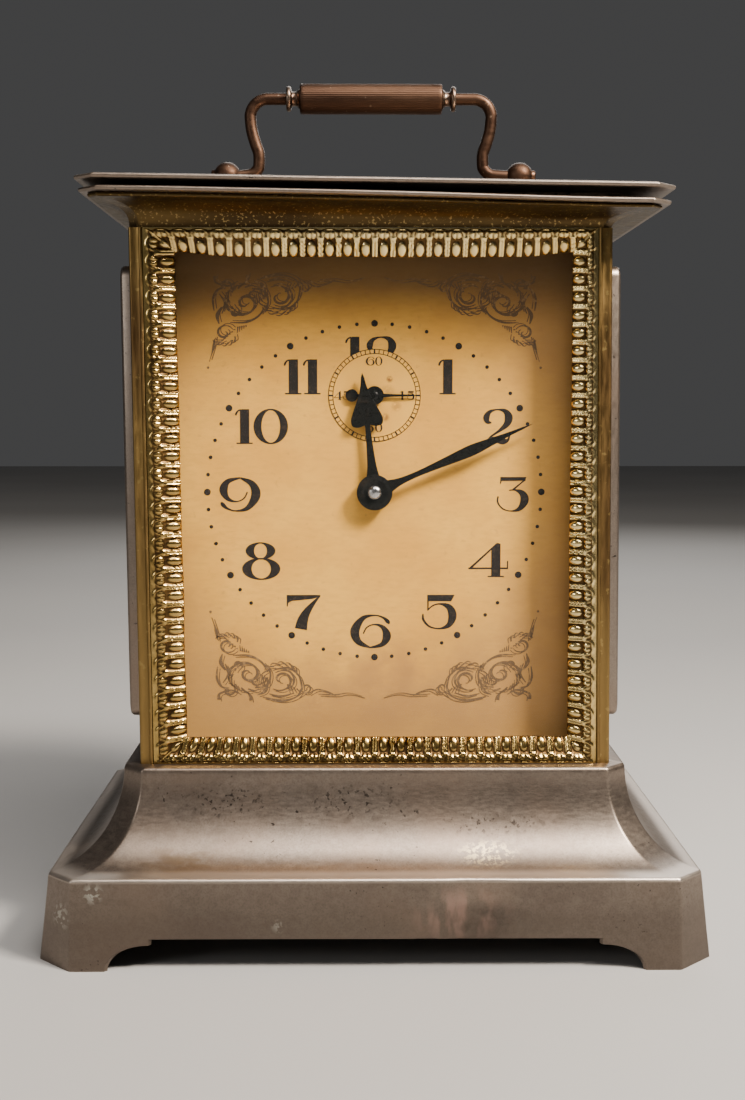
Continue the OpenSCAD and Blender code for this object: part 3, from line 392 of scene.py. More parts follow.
def bezel_look():
    """Stamped brass, bright where it stands proud and dark in its hollows, with painted shade on its left and
    bottom sides and a painted highlight on its right and top sides.
    """
    look = Look("bezel_brass", metallic=1.0)
    height = look.relief()
    patch = look.patches(11, 0.35, 0.68, detail=3, shift=2.0)
    bright = look.mix(patch, (0.78, 0.56, 0.20), (0.52, 0.35, 0.105))
    # Painted shade on the left and bottom sides of the frame.
    left = look.near((-WINDOW_X - 3, BODY_FRONT, WINDOW_MID), (9, 40, 95))
    bottom = look.near((0, BODY_FRONT, WINDOW_LOW - 3), (80, 40, 9))
    bright = look.over(bright, (0.33, 0.205, 0.06), look.maths("MAXIMUM", left, bottom), 0.62)
    # Painted highlight on the right and top sides of the frame.
    right = look.near((WINDOW_X + 3, BODY_FRONT, WINDOW_MID + 10), (9, 40, 90))
    top = look.near((0, BODY_FRONT, WINDOW_HIGH + 3), (70, 40, 9))
    bright = look.over(bright, (1.0, 0.80, 0.38), look.maths("MAXIMUM", right, top), 0.75)
    deep = look.mix(patch, (0.115, 0.065, 0.022), (0.05, 0.028, 0.012))
    grain = look.times(look.noise(0.7, detail=3, shift=5.0), 0.22)
    raised = look.span(look.maths("ADD", height, grain), 0.28, 0.66)
    look.colour(look.mix(raised, deep, bright))
    look.roughness(look.span(height, 0.05, 0.4, 0.42, 0.2))
    look.bump(look.noise(0.35, detail=2), 0.02, 0.4)
    return look.material


# Stains on the dial paper: centre, radii and depth
PAPER_STAINS = [
    ((10, 60), (60, 20), 0.55), ((4, 63), (16, 13), 0.50), ((46, 72), (18, 34), 0.5),
    ((-6, 57), (40, 9), 0.30), ((46, 150), (16, 34), 0.30), ((-15, 57), (3.2, 2.2), 0.45),
]
# Spots of rust on the seconds dial: place from its centre, radius and depth
RUST_SPOTS = [((3.7, 4.0), 1.1, 1.0), ((5.4, -2.6), 1.7, 0.5), ((2.7, -5.4), 1.3, 0.8),
              ((3.2, 0.8), 2.6, 0.35)]


def paper_look():
    """Buff dial paper, browner towards its edges and most at its right edge, where the browning is partly
    painted shade, with a few stains and a painted shadow across its top.
    """
    look = Look("dial_paper", roughness=0.72, specular=0.25)
    cloud = look.patches(22, 0.3, 0.72, detail=3, shift=3.0)
    base = look.mix(cloud, (0.80, 0.42, 0.062), (0.68, 0.33, 0.042))
    fibre = look.patches(0.8, 0.35, 0.75, (3, 1, 1), 5, shift=7.0)
    base = look.over(base, (0.52, 0.26, 0.05), fibre, 0.30)
    flecks = look.patches(1.3, 0.64, 0.72, detail=4, shift=41.0)
    base = look.over(base, (0.40, 0.19, 0.05), flecks, 0.28)
    for (x, z), (rx, rz), depth in PAPER_STAINS:
        ragged = look.patches(min(rx, rz) * 0.45, 0.28, 0.62, detail=4, shift=x)
        mask = look.times(look.near((x, PAPER_Y, z), (rx, 40, rz)), ragged)
        base = look.over(base, (0.38, 0.185, 0.055), mask, depth)
    # Browner towards the edges from ageing, and stronger at the right edge as painted shade.
    ragged = look.times(look.noise(9, detail=3, shift=31.0), 0.25)
    middle = look.near((-6, PAPER_Y, DIAL_Z + 3), (68, 60, 77))
    edge_tone_and_right_shade = look.span(look.maths("ADD", middle, ragged), 0.14, 0.85, 1.0, 0.0)
    base = look.over(base, (0.33, 0.178, 0.062), edge_tone_and_right_shade, 0.75)
    # Painted shadow of the frame across the top of the paper.
    painted_top_shadow = look.near((0, PAPER_Y, PAPER_HIGH.z - 2), (150, 60, 19))
    look.colour(look.over(base, (0.085, 0.048, 0.022), painted_top_shadow, 0.82))
    look.roughness(look.span(fibre, 0, 1, 0.66, 0.8))
    look.bump(look.noise(0.5, (2, 1, 1), 4), 0.015, 0.5)
    return look.material


def seconds_paper_look():
    """The seconds dial's ground, with small brown spots of rust."""
    look = Look("seconds_paper", roughness=0.72, specular=0.25)
    cloud = look.patches(14, 0.3, 0.72, detail=3, shift=3.0)
    base = look.mix(cloud, (0.80, 0.42, 0.062), (0.69, 0.34, 0.045))
    for (x, z), radius, depth in RUST_SPOTS:
        ragged = look.patches(0.9, 0.30, 0.5, detail=4, shift=x)
        mask = look.times(look.near((x, PAPER_Y, SECONDS_Z + z), (radius, 20, radius)), ragged)
        base = look.over(base, (0.25, 0.10, 0.02), mask, depth)
    look.colour(base)
    return look.material


def ink_look(name, dark, pale):
    """Printer's ink, worn thin in places."""
    look = Look(name, roughness=0.55, specular=0.2)
    look.colour(look.mix(look.patches(0.9, 0.5, 0.8, detail=4, shift=2.0), dark, pale))
    return look.material


def black_look():
    """Black japanned steel, a little glossy and worn to brown in places."""
    look = Look("black_hands", roughness=0.4, specular=0.18)
    worn = look.patches(2.2, 0.55, 0.75, detail=4, shift=4.0)
    look.colour(look.mix(worn, (0.005, 0.005, 0.005), (0.018, 0.014, 0.011)))
    look.roughness(look.span(look.noise(0.6, detail=3), 0.3, 0.7, 0.24, 0.42))
    look.bump(look.noise(0.4, detail=3), 0.01, 0.4)
    return look.material


def glass_look():
    """Thin clear window glass, made see-through by a plain Alpha. Its plain Alpha is
    what the exported model reads.
    """
    material = bpy.data.materials.new("glass")
    material.use_nodes = True
    shader = material.node_tree.nodes["Principled BSDF"]
    shader.inputs["Base Color"].default_value = (0.10, 0.12, 0.11, 1)
    shader.inputs["Roughness"].default_value = 0.05
    shader.inputs["Alpha"].default_value = 0.02
    return material


NICKEL = nickel_look("nickel", (9, 1, 1)).material
NICKEL_SIDE = nickel_look("side_nickel", (1, 1, 9)).material
BASE_NICKEL = base_look()
BEZEL = bezel_look()
PAPER = paper_look()
SECONDS_PAPER = seconds_paper_look()
INK = ink_look("ink", (0.014, 0.011, 0.010), (0.050, 0.033, 0.022))
SCROLL_INK = ink_look("scroll_ink", (0.13, 0.078, 0.038), (0.30, 0.175, 0.07))
BLACK = black_look()
GLASS = glass_look()
BRASS = worn_metal("case_brass", (0.27, 0.175, 0.06), (0.13, 0.075, 0.03), (0.36, 0.25, 0.09),
                   0.38, (1, 1, 5), 1.0, 9, 0.63)
BRONZE = worn_metal("handle_bronze", (0.078, 0.044, 0.028), (0.044, 0.024, 0.016),
                    (0.17, 0.12, 0.085), 0.46, (5, 1, 1), 0.8, 8, 0.70)
CORNICE_BRASS = worn_metal("cornice_brass", (0.11, 0.072, 0.026), (0.045, 0.029, 0.013),
                           (0.30, 0.21, 0.08), 0.36, (6, 1, 1), 0.42, 11, 0.60)
FERRULE = worn_metal("ferrule_metal", (0.20, 0.155, 0.12), (0.10, 0.058, 0.04),
                     (0.07, 0.04, 0.028), 0.32, (1, 1, 1), 0.8, 3.5, 0.62)
CASE_LOOKS = {
    "nickel": NICKEL,
    "case_brass": BRASS,
    "bezel_brass": BEZEL,
    "glass": GLASS,
    "dial_paper": PAPER,
    "black_hands": BLACK,
    "handle_bronze": BRONZE,
    "movement_brass": worn_metal("movement_brass", (0.80, 0.60, 0.27), (0.66, 0.46, 0.18),
                                 (0.30, 0.18, 0.08), 0.25, (1, 1, 1), 1.6, 18, 0.70),
    "steel": worn_metal("steel", (0.56, 0.56, 0.57), (0.42, 0.42, 0.43), (0.16, 0.13, 0.11),
                        0.26, (1, 1, 1), 1.0, 10, 0.70),
    "blued_steel": worn_metal("blued_steel", (0.10, 0.15, 0.33), (0.05, 0.07, 0.17),
                              (0.16, 0.10, 0.08), 0.24, (1, 1, 1), 1.2, 10, 0.72),
    "tinplate": worn_metal("tinplate", (0.48, 0.45, 0.40), (0.33, 0.30, 0.26), (0.17, 0.11, 0.07),
                           0.42, (1, 1, 1), 1.8, 16, 0.62),
}


# ------------------------------------------------------------------ base

SHEET = 0.8
APRON_X = FOOT_X - 2.3
COVE_IN = 16.1
COVE_X = APRON_X - COVE_IN
ARCH_TOP = 7.4
ARCH_SHOULDER = 6.0
ARCH_RUN = 10.3
FOOT_LENGTH = 16.7
EDGE_R = 1.2
# The corners' chamfer at the feet, the apron's top and the base's top
CUT_FOOT, CUT_APRON, CUT_TOP = 8.6, 6.3, 4.9


def corner_at(z):
    """Chamfer across the base's corners at a height."""
    if z < APRON_TOP:
        return CUT_FOOT + (CUT_APRON - CUT_FOOT) * z / APRON_TOP
    return CUT_APRON + (CUT_TOP - CUT_APRON) * (z - APRON_TOP) / (BASE_TOP - APRON_TOP)


def octagon(hx, c, r, front=(0, 1), side=(0, 1)):
    """A rectangle with cut corners and rounded edges, with points at fractions along its sides."""
    hy = hx - DEPTH_LESS
    corners = [Vector(p) for p in (
        (c - hx, -hy), (hx - c, -hy), (hx, c - hy), (hx, hy - c),
        (hx - c, hy), (c - hx, hy), (-hx, hy - c), (-hx, c - hy))]
    reach = r * math.tan(math.radians(22.5))
    out = []
    for i in range(8):
        a, b, after = (corners[(i + k) % 8] for k in range(3))
        ahead, turned = (b - a).normalized(), (after - b).normalized()
        start, end = a + ahead * reach, b - ahead * reach
        cuts = (0, 0.5, 1) if i % 2 else (front, side)[i // 2 % 2]
        out += [start.lerp(end, f) for f in cuts]
        for f in (0.25, 0.5, 0.75):
            out.append(end.lerp(b, f).lerp(b.lerp(b + turned * reach, f), f))
    return out


def arch_height(along, toe):
    """Height of the apron's lower edge at a distance from the middle of a side."""
    inside = toe - abs(along)
    if inside <= 0:
        return 0.0
    if inside >= ARCH_RUN:
        return ARCH_TOP
    return ARCH_SHOULDER * math.sin(math.acos(1 - inside / ARCH_RUN))


def side_cuts(straight, toe):
    """Fractions along a side, with points at each change of the arch's edge."""
    run = [toe - ARCH_RUN * (1 - math.cos(math.radians(t))) for t in range(0, 91, 10)]
    run += [toe - ARCH_RUN - 0.02, toe - ARCH_RUN - 0.9]
    count = round((toe - ARCH_RUN) / 2.2)
    run += [(toe - ARCH_RUN - 0.9) * i / count for i in range(1, count)]
    run += [toe + (straight - toe) * f for f in (0.25, 0.5, 0.75, 1)]
    places = sorted([-x for x in run] + [0] + run)
    return [(x + straight) / (2 * straight) for x in places]


def dent(x, y, z):
    """How far the front of the base is pushed in at a place."""
    if y > -38 or z > BASE_TOP - 1:
        return 0.0
    deep = 1.35 * bell((x - 24) / 6.5) * bell((z - 15) / 4.2)
    deep += 0.5 * bell((x - 23) / 3.2) * bell((z - 10.2) / 1.5)
    deep += 0.34 * bell((x - 15.0) / 4.2) * bell((z - 9.5) / 5.0) * (1 + math.sin(2.4 * x))
    deep += 0.22 * bell((x - 20) / 3.0) * bell((z - 21.5) / 1.8)
    return deep


def base_piece():
    """The pressed base: apron on bracket feet, rounded edge, cove and top, with its inside."""
    straight_x = FOOT_X - CUT_FOOT - EDGE_R * math.tan(math.radians(22.5))
    toe_x = FOOT_X - FOOT_LENGTH
    cuts = (side_cuts(straight_x, toe_x), side_cuts(straight_x - DEPTH_LESS, toe_x - DEPTH_LESS))

    def loop(hx, z, r=EDGE_R):
        return [(p.x, p.y, z) for p in octagon(hx, corner_at(z), r, *cuts)]

    def apron(inset, top, steps):
        low, high = loop(FOOT_X - inset, 0), loop(APRON_X - inset, APRON_TOP)
        outside = loop(FOOT_X, 0)
        rings = []
        for k in range(steps + 1):
            ring = []
            for a, b, (x, y, _) in zip(low, high, outside):
                half_y = FOOT_X - DEPTH_LESS
                bottom = 0.0
                if abs(abs(y) - half_y) < 0.01:
                    bottom = arch_height(x, toe_x)
                elif abs(abs(x) - FOOT_X) < 0.01:
                    bottom = arch_height(y, toe_x - DEPTH_LESS)
                z = bottom + (top - bottom) * k / steps
                ring.append((*blend(a, b, z / APRON_TOP)[:2], z))
            rings.append(ring)
        return rings

    round_r = 0.7
    edge = []
    for t in (0, 30, 60, 90):
        a = math.radians(t)
        edge.append(loop(APRON_X - round_r * (1 - math.cos(a)) + 0.05,
                         APRON_TOP - round_r * (1 - math.sin(a))))
    cove = []
    steps = 26
    for i in range(steps + 1):
        t = math.radians(82 * (1 - i / steps) + 4)
        cove.append((COVE_X + COVE_IN * (1 - math.cos(t)),
                     BASE_TOP - (BASE_TOP - APRON_TOP) * math.sin(t)))
    outer = [loop(x, z) for x, z in cove]
    lip = [loop(COVE_X - d, BASE_TOP - h) for d, h in ((0.05, 0.8), (0.25, 0.3), (0.8, 0))]
    flat = [loop(50, BASE_TOP), loop(50, BASE_TOP - SHEET)]
    inner = [loop(x - SHEET, min(z - 0.1, BASE_TOP - SHEET)) for x, z in cove[::-2]]
    rings = apron(0, APRON_TOP - round_r, 9) + edge + outer + lip + flat + inner
    rings += apron(SHEET, APRON_TOP - SHEET, 4)[::-1]
    shape = Shape()
    bent = []
    for ring in rings:
        line = []
        for x, y, z in ring:
            wave = 0.09 * (1 + noise.noise(Vector((x / 34, y / 34, z / 16)))) * smooth((z - 1) / 6)
            wave *= smooth((BASE_TOP - z) / 4)
            half_y = FOOT_X - DEPTH_LESS
            push_y = -math.copysign(wave * smooth((abs(y) / half_y - 0.6) / 0.15), y)
            push_x = -math.copysign(wave * smooth((abs(x) / FOOT_X - 0.72) / 0.12), x)
            line.append((x + push_x, y + push_y + dent(x, y, z), z))
        bent.append(line)
    shape.skin(bent, turn=True)
    shape.make("base", BASE_NICKEL, "case", ["base_shell"], "nickel", sharp=44)


# ------------------------------------------------------------------ case

def pressed(shape, rings, place, arc_steps=5):
    """A closed sheet pressed into steps. Each ring is half-width, low, high, level and corner radius."""
    loops = []
    for half, low, high, level, r in rings:
        r = min(r, half - 0.01)
        line = []
        for cx, cz, start in ((half - r, low + r, -90), (half - r, high - r, 0),
                              (r - half, high - r, 90), (r - half, low + r, 180)):
            line += arc(cx, cz, r, start, start + 90, arc_steps)
        loops.append([place(u, v, level) for u, v in line])
    shape.skin(loops, caps=True)


def lean(x, z):
    """The upright walls lean a little to the left as they rise."""
    rise = (z - BASE_TOP) / (BODY_TOP - BASE_TOP)
    return (0.4 - 1.1 * rise) if x > 0 else (-0.3 - 1.0 * rise)


def side_panels():
    """Raised panels let into the sides, with a stepped border."""
    t = 0.6
    back = BODY_X - SHEET - t
    deep = -BODY_FRONT
    low, high = BASE_TOP, BODY_TOP
    for name, sign in (("left", -1), ("right", 1)):
        levels = [
            (deep - 12.6, low + 14.3, high - 12.5, BODY_X + 4.0 - t, 1.4),
            (deep - 12.0, low + 13.7, high - 11.9, BODY_X + 3.6 - t, 2.0),
            (deep - 10.2, low + 10.6, high - 8.8, BODY_X + 3.5 - t, 2.0),
            (deep - 10.1, low + 10.4, high - 8.6, back, 2.2),
            (deep - 2, low + 1.8, high - 1, back, 0.6),
            (deep - 2, low + 1.8, high - 1, back + t, 0.6),
            (deep - 9.0, low + 9.3, high - 7.5, back + t, 3.1),
            (deep - 9.4, low + 9.7, high - 7.9, back + t + 0.2, 2.8),
            (deep - 9.5, low + 9.8, high - 8.0, BODY_X + 2.9, 2.6),
            (deep - 9.9, low + 10.2, high - 8.4, BODY_X + 3.5, 2.4),
            (deep - 10.5, low + 10.9, high - 9.1, BODY_X + 3.7, 2.2),
            (deep - 13.0, low + 14.4, high - 12.6, BODY_X + 3.7, 2.2),
            (deep - 13.3, low + 14.8, high - 13.0, BODY_X + 3.8, 2.1),
            (deep - 13.8, low + 15.4, high - 13.6, BODY_X + 4.2, 2.0),
            (deep - 14.4, low + 16.1, high - 14.3, BODY_X + 4.35, 1.8),
            (deep - 16.5, low + 18.4, high - 16.6, BODY_X + 4.4, 1.6),
        ]
        shape = Shape()
        pressed(shape, levels, lambda u, v, w: (sign * w + lean(sign, v), u, v))
        shape.make("panel_" + name, NICKEL_SIDE, "case", ["side_panel_" + name], "nickel", sharp=60)


def posts():
    """Brass angle strips with a raised bead along the front leg's inner edge."""
    leg = POST_HIGH.x - POST_LOW.x
    depth = POST_HIGH.y - POST_LOW.y
    bead_r = 0.42
    bead_x = BODY_X - leg + bead_r + 0.1
    section = [(BODY_X - SHEET, depth), (BODY_X - SHEET, SHEET), (BODY_X - leg, SHEET),
               (BODY_X - leg, 0.3)]
    section += [(bead_x - bead_r * math.cos(math.radians(t)), 0.3 - bead_r * math.sin(math.radians(t)))
                for t in range(20, 161, 20)]
    section += [(bead_x + bead_r + 0.15, 0.32), (BODY_X - 0.9, 0.22)]
    section += [(BODY_X - 0.7 + 0.7 * math.sin(math.radians(t)), 0.85 - 0.7 * math.cos(math.radians(t)))
                for t in (10, 35, 60, 90)]
    section += [(BODY_X, depth)]
    steps = 40
    for side_x, x_name in ((-1, "left"), (1, "right")):
        for side_y, y_name in ((-1, "front"), (1, "rear")):
            rings = []
            for i in range(steps + 1):
                z = BASE_TOP + 0.02 + (BODY_TOP - BASE_TOP - 0.04) * i / steps
                sway = 0.10 * noise.noise(Vector((side_x * 5, side_y * 5, z / 18)))
                shift = lean(side_x, z)
                rings.append([(side_x * x + shift + sway * smooth((BODY_X - x) / 2),
                               side_y * (-BODY_FRONT - d), z) for x, d in section])
            shape = Shape()
            shape.skin(rings, caps=True)
            node = f"corner_post_{y_name}_{x_name}"
            shape.make(f"post_{y_name}_{x_name}", BRASS, "case", [node], "case_brass", sharp=50)


def sag(x, z):
    """The cornice is bent: its left end is high and its right end has dropped."""
    share = smooth((z - BODY_TOP - 0.6) / (CORNICE_HIGH.z - BODY_TOP - 0.6))
    return (1.15 - 0.9 * smooth((x + 70) / 70) - 1.8 * smooth((x + 20) / 90)) * share


def cornice_piece():
    """The brass cove under the plates, with a rolled rim and a bent lower edge."""
    out = CORNICE_HIGH.x - BODY_X
    rise = CORNICE_HIGH.z - BODY_TOP
    line = []
    for i in range(15):
        t = math.radians(90 * i / 14)
        line.append((BODY_X + (out - 0.5) * (1 - math.cos(t)), BODY_TOP + (rise - 1.0) * math.sin(t)))
    rim = [(BODY_X + out - 0.5 + 0.5 * math.sin(math.radians(t)),
            CORNICE_HIGH.z - 0.5 - 0.5 * math.cos(math.radians(t))) for t in (0, 30, 60, 90, 120, 150, 180)]
    inner = [(x - SHEET, z + 0.35) for x, z in line[::-2]]
    profile = line + rim + [(50, CORNICE_HIGH.z), (50, CORNICE_HIGH.z - 0.4)] + inner
    cuts = [i / 40 for i in range(41)]
    shape = Shape()
    rings = []
    for x, z in profile:
        ring = []
        for p in octagon(x, 2.5, 0.5, cuts, cuts):
            ripple = 0.12 * noise.noise(Vector((p.x / 6, p.y / 6, z / 5)))
            ripple *= smooth((z - BODY_TOP) / 3) * (z < BODY_TOP + 4.5)
            shift = lean(p.x, BODY_TOP) * smooth((BODY_TOP + 4 - z) / 4)
            ring.append((p.x + shift, p.y, z + sag(p.x, z) + ripple))
        rings.append(ring)
    shape.skin(rings, turn=True)
    shape.make("cornice_cove", CORNICE_BRASS, "case", ["cornice"], "case_brass", sharp=50)


def tilt(x):
    """The top plate sits higher at its left end."""
    return 0.85 - 1.05 * x / TOP_HIGH.x


def plate_piece(name, node, profile, follows_sag):
    """A cornice plate: rings of half-width, height and how far it follows the bent edge."""
    cuts = [i / 40 for i in range(41)]
    rings = []
    for x, z, drop in profile:
        ring = []
        for p in octagon(x, 4.8, 0.7, cuts, cuts):
            lift = sag(p.x, CORNICE_HIGH.z) * drop if follows_sag else tilt(p.x)
            wave = 0.07 * noise.noise(Vector((p.x / 25, p.y / 25, 3.0 if follows_sag else 8.0)))
            ring.append((p.x, p.y, z + lift - abs(wave) * (x > 62)))
        rings.append(ring)
    shape = Shape()
    shape.skin(rings, caps=True)
    shape.make(name, NICKEL, "case", [node], "nickel", sharp=50)


def plates():
    """The two nickel plates above the cornice, with rounded rims."""
    x, low, high = LOWER_HIGH.x, LOWER_LOW.z, LOWER_HIGH.z
    rim = low + 1.2
    plate_piece("lower_plate", "cornice_plate", [
        (40, low + 0.02, 0), (56, low + 0.02, 0.5), (x - 0.6, low + 0.02, 1), (x - 0.15, low + 0.2, 1),
        (x, low + 0.6, 1), (x - 0.15, rim - 0.2, 1), (x - 0.6, rim, 1), (61, rim, 0.9),
        (60, rim + 0.15, 0.8), (59.8, high, 0)], True)
    x, low, high = TOP_HIGH.x, TOP_LOW.z, TOP_HIGH.z
    plate_piece("upper_plate", "top_plate", [
        (62, low + 0.02, 0), (x - 0.6, low + 0.02, 0), (x - 0.15, low + 0.2, 0), (x, low + 0.6, 0),
        (x - 0.15, high - 0.2, 0), (x - 0.6, high, 0), (x - 1.6, high - 0.12, 0), (x - 3.2, high - 0.2, 0),
        (60, high - 0.2, 0)], False)


def rear_door_piece():
    """The rear door's sheet, pressed with a raised border."""
    low, high = box_mm("rear_door")
    inner, outer = -BODY_FRONT - SHEET, -BODY_FRONT
    half = high.x
    hinge_shift = 2.0
    raised = high.y
    levels = [
        (half - 17, low.z + 12, high.z - 12, inner, 3.0),
        (half - 0.5, low.z + 0.5, high.z - 0.5, inner, 1.0),
        (half, low.z, high.z, inner + 0.2, 1.2),
        (half, low.z, high.z, outer - 0.2, 1.2),
        (half - 0.3, low.z + 0.3, high.z - 0.3, outer, 1.2),
        (half - 11.6, low.z + 7.6, high.z - 7.6, outer, 4.6),
        (half - 12.1, low.z + 8.1, high.z - 8.1, outer + 0.15, 4.2),
        (half - 12.5, low.z + 8.5, high.z - 8.5, raised - 0.15, 4.0),
        (half - 13.0, low.z + 9.0, high.z - 9.0, raised, 3.6),
        (half - 14.2, low.z + 10.2, high.z - 10.2, raised, 3.0),
        (half - 14.7, low.z + 10.7, high.z - 10.7, raised - 0.15, 2.8),
        (half - 15.1, low.z + 11.1, high.z - 11.1, outer + 0.15, 2.6),
        (half - 15.6, low.z + 11.6, high.z - 11.6, outer, 2.4),
    ]
    shape = Shape()
    pressed(shape, levels, lambda u, v, w: (u + hinge_shift * smooth((half - 6 - abs(u)) / 6), w, v))
    shape.make("door_panel", NICKEL, "door", ["rear_door"], "nickel", sharp=50)


# ------------------------------------------------------------------ bezel

BAND = 6.3
# The band slopes back by this much, up to this far out from the opening
SLOPE = 2.6
SLOPE_END = 4.75
# Where the plain rim starts, out from the opening
RIM_START = 4.9


def stamped(along, q, half, pitch):
    """Height of the stamped pattern at a distance along a side and q out from the opening."""
    past = max(0.0, abs(along) - half)
    ridge = 0.45 * bell((past - q) / 0.4) * smooth(past / 0.8) * smooth((5.0 - q) / 0.6)
    step = (along / pitch) % 1.0
    s = (step - 0.5) * pitch
    from_bar = min(step, 1 - step) * pitch
    bead = max(0.0, 1 - (s / 1.12) ** 2 - ((q - 1.5) / 1.6) ** 2)
    height = max(ridge, 0.78 * math.sqrt(bead))
    reach = smooth((3.6 - q) / 0.7) * smooth((q + 0.1) / 0.3)
    bar = bell((from_bar - 0.4) / 0.27) + 0.35 * bell(from_bar / 0.5)
    height = max(height, 0.68 * reach * min(1.0, bar))
    fan = bell((q - 3.55) / 0.55) * smooth(1.5 - from_bar / 0.75)
    leaf = max(0.0, 1 - (s / 1.25) ** 2 - ((q - 4.15) / 0.95) ** 2)
    vein = 1 - 0.7 * bell(s / 0.3)
    height = max(height, 0.55 * fan, 0.5 * math.sqrt(leaf) * vein)
    scallop = bell((math.hypot(s / 1.7, (q - 4.1) / 1.4) - 1) / 0.2) * smooth((q - 3.6) / 0.6)
    return max(height, 0.26 * scallop)


def bezel_piece():
    """The stamped frame. Its sides are numbered bottom, right, top, left."""
    normal_in = SLOPE / math.hypot(SLOPE, SLOPE_END)
    normal_out = SLOPE_END / math.hypot(SLOPE, SLOPE_END)
    rows = 30
    half_z = (WINDOW_HIGH - WINDOW_LOW) / 2
    outer_x = box_mm("bezel")[1].x
    outer_low, outer_high = BASE_TOP + 0.06, BODY_TOP - 0.06
    # Half-length, number of stampings and columns of points
    sides = [(WINDOW_X, 22, 380), (half_z, 28, 480)] * 2
    inward = [(0, 1), (-1, 0), (0, -1), (1, 0)]

    def place(side, f, q):
        """Point in the x-z plane and height of the pattern, for one side of the frame."""
        half, count, _ = sides[side]
        along = f * (half + q)
        share = q / BAND
        rough = 0.22 * noise.noise(Vector((along / 12, side * 7.0, q / 6)))
        hammered = 0.13 * (1 + noise.noise(Vector((along / 0.6, side * 9.0, q / 0.6))))
        hammered *= smooth((q - 3.0) / 1.2)
        hammered *= smooth((5.2 - q) / 0.5)
        height = stamped(along, q, half, 2 * half / count) * (1 + rough) + hammered
        out = sides[side - 1][0] + q
        x, z = [(along, -out), (out, along), (-along, out), (-out, -along)][side]
        z += WINDOW_MID
        loose = 1 - smooth(share * 1.15)
        up = (z - WINDOW_MID) / half_z
        if x < 0:
            x += (0.9 - 0.2 - 1.35 * up) * loose * smooth(-x / WINDOW_X * 2 - 1) * 0.6
        curl = 1.4 * bell((abs(x) - WINDOW_X) / 8) - 1.1 if up > 0 else 0.8
        z += curl * loose * smooth(abs(up) * 3 - 2) * 0.8
        z += 0.22 * loose * noise.noise(Vector((x / 15, 0, up * 2)))
        x += 0.18 * loose * noise.noise(Vector((z / 13, up, 4)))
        edge = smooth((q - RIM_START) / (BAND - RIM_START))
        if side in (1, 3):
            x = math.copysign(abs(x) + (outer_x - WINDOW_X - BAND) * edge, x)
        rim_z = outer_high if z > WINDOW_MID else outer_low
        flat_z = WINDOW_MID + math.copysign(half_z + BAND, z - WINDOW_MID)
        z += (rim_z - flat_z) * edge * smooth(abs(z - WINDOW_MID) / half_z * 10 - 9)
        x += lean(x, z) * smooth(share) * smooth(abs(x) / WINDOW_X * 3 - 2)
        return x, z, height

    def ring(q, thick, relief):
        points, heights = [], []
        slope = smooth((SLOPE_END + 0.4 - q) / 0.8)
        for side, (_, _, columns) in enumerate(sides):
            for i in range(columns):
                x, z, h = place(side, -1 + 2 * i / columns, q)
                h *= relief
                y = BODY_FRONT + SLOPE * max(0.0, 1 - q / SLOPE_END) + thick
                y -= h * normal_out * (1 - 0.1 * slope)
                shift = h * normal_in * slope
                points.append((x + inward[side][0] * shift, y, z + inward[side][1] * shift))
                heights.append(max(h, 0.44 * smooth((q - RIM_START) / 0.4)) if relief else 0.0)
        return points, heights

    made = [ring(BAND * (i / rows), 0.0, 1.0) for i in range(rows + 1)]
    made += [ring(BAND, 0.5, 0.0), ring(SLOPE_END, 0.5, 0.0), ring(0.02, 0.45, 0.0)]
    shape = Shape()
    shape.skin([points for points, _ in made], turn=True, values=[h for _, line in made for h in line])
    shape.make("bezel_stamping", BEZEL, "case", ["bezel"], "bezel_brass", sharp=70)


# ------------------------------------------------------------------ dial printing

INK_T = 0.03


def stroke(points):
    """Both edges of a pen stroke: points are x, z and the stroke's width there."""
    line = through(points, 7)
    left, right = [], []
    for i, (x, z, w) in enumerate(line):
        ahead, behind = line[min(i + 1, len(line) - 1)], line[max(i - 1, 0)]
        dx, dz = ahead[0] - behind[0], ahead[1] - behind[1]
        size = math.hypot(dx, dz) or 1.0
        nx, nz = -dz / size * w / 2, dx / size * w / 2
        left.append((x + nx, z + nz))
        right.append((x - nx, z - nz))
    return left, right


def oval(cx, cz, rx, rz, steps=40):
    return [(cx + rx * math.cos(2 * math.pi * i / steps), cz + rz * math.sin(2 * math.pi * i / steps))
            for i in range(steps)]


class Print:
    """Ink laid on the dial as thin solids, each a hair nearer or farther than the last."""

    def __init__(self, level):
        self.shape = Shape()
        self.level = level
        self.laid = 0

    def depth(self):
        self.laid += 1
        front = self.level - 0.003 * (self.laid % 8)
        return front, front + INK_T

    def stroke(self, points, at=(0, 0), size=1.0, flip=(1, 1)):
        front, back = self.depth()
        left, right = stroke(points)
        sides = [[(at[0] + flip[0] * size * x, at[1] + flip[1] * size * z) for x, z in side]
                 for side in (left, right)]
        rings = []
        for a, b in zip(*sides):
            rings.append([(a[0], front, a[1]), (b[0], front, b[1]),
                          (b[0], back, b[1]), (a[0], back, a[1])])
        self.shape.skin(rings, caps=True)

    def outline(self, points, at=(0, 0), size=1.0, flip=(1, 1)):
        line = [(at[0] + flip[0] * size * x, at[1] + flip[1] * size * z) for x, z in points]
        self.shape.slab(line, *self.depth())

    def ring(self, outer, inner):
        self.shape.ring_slab(outer, inner, *self.depth())


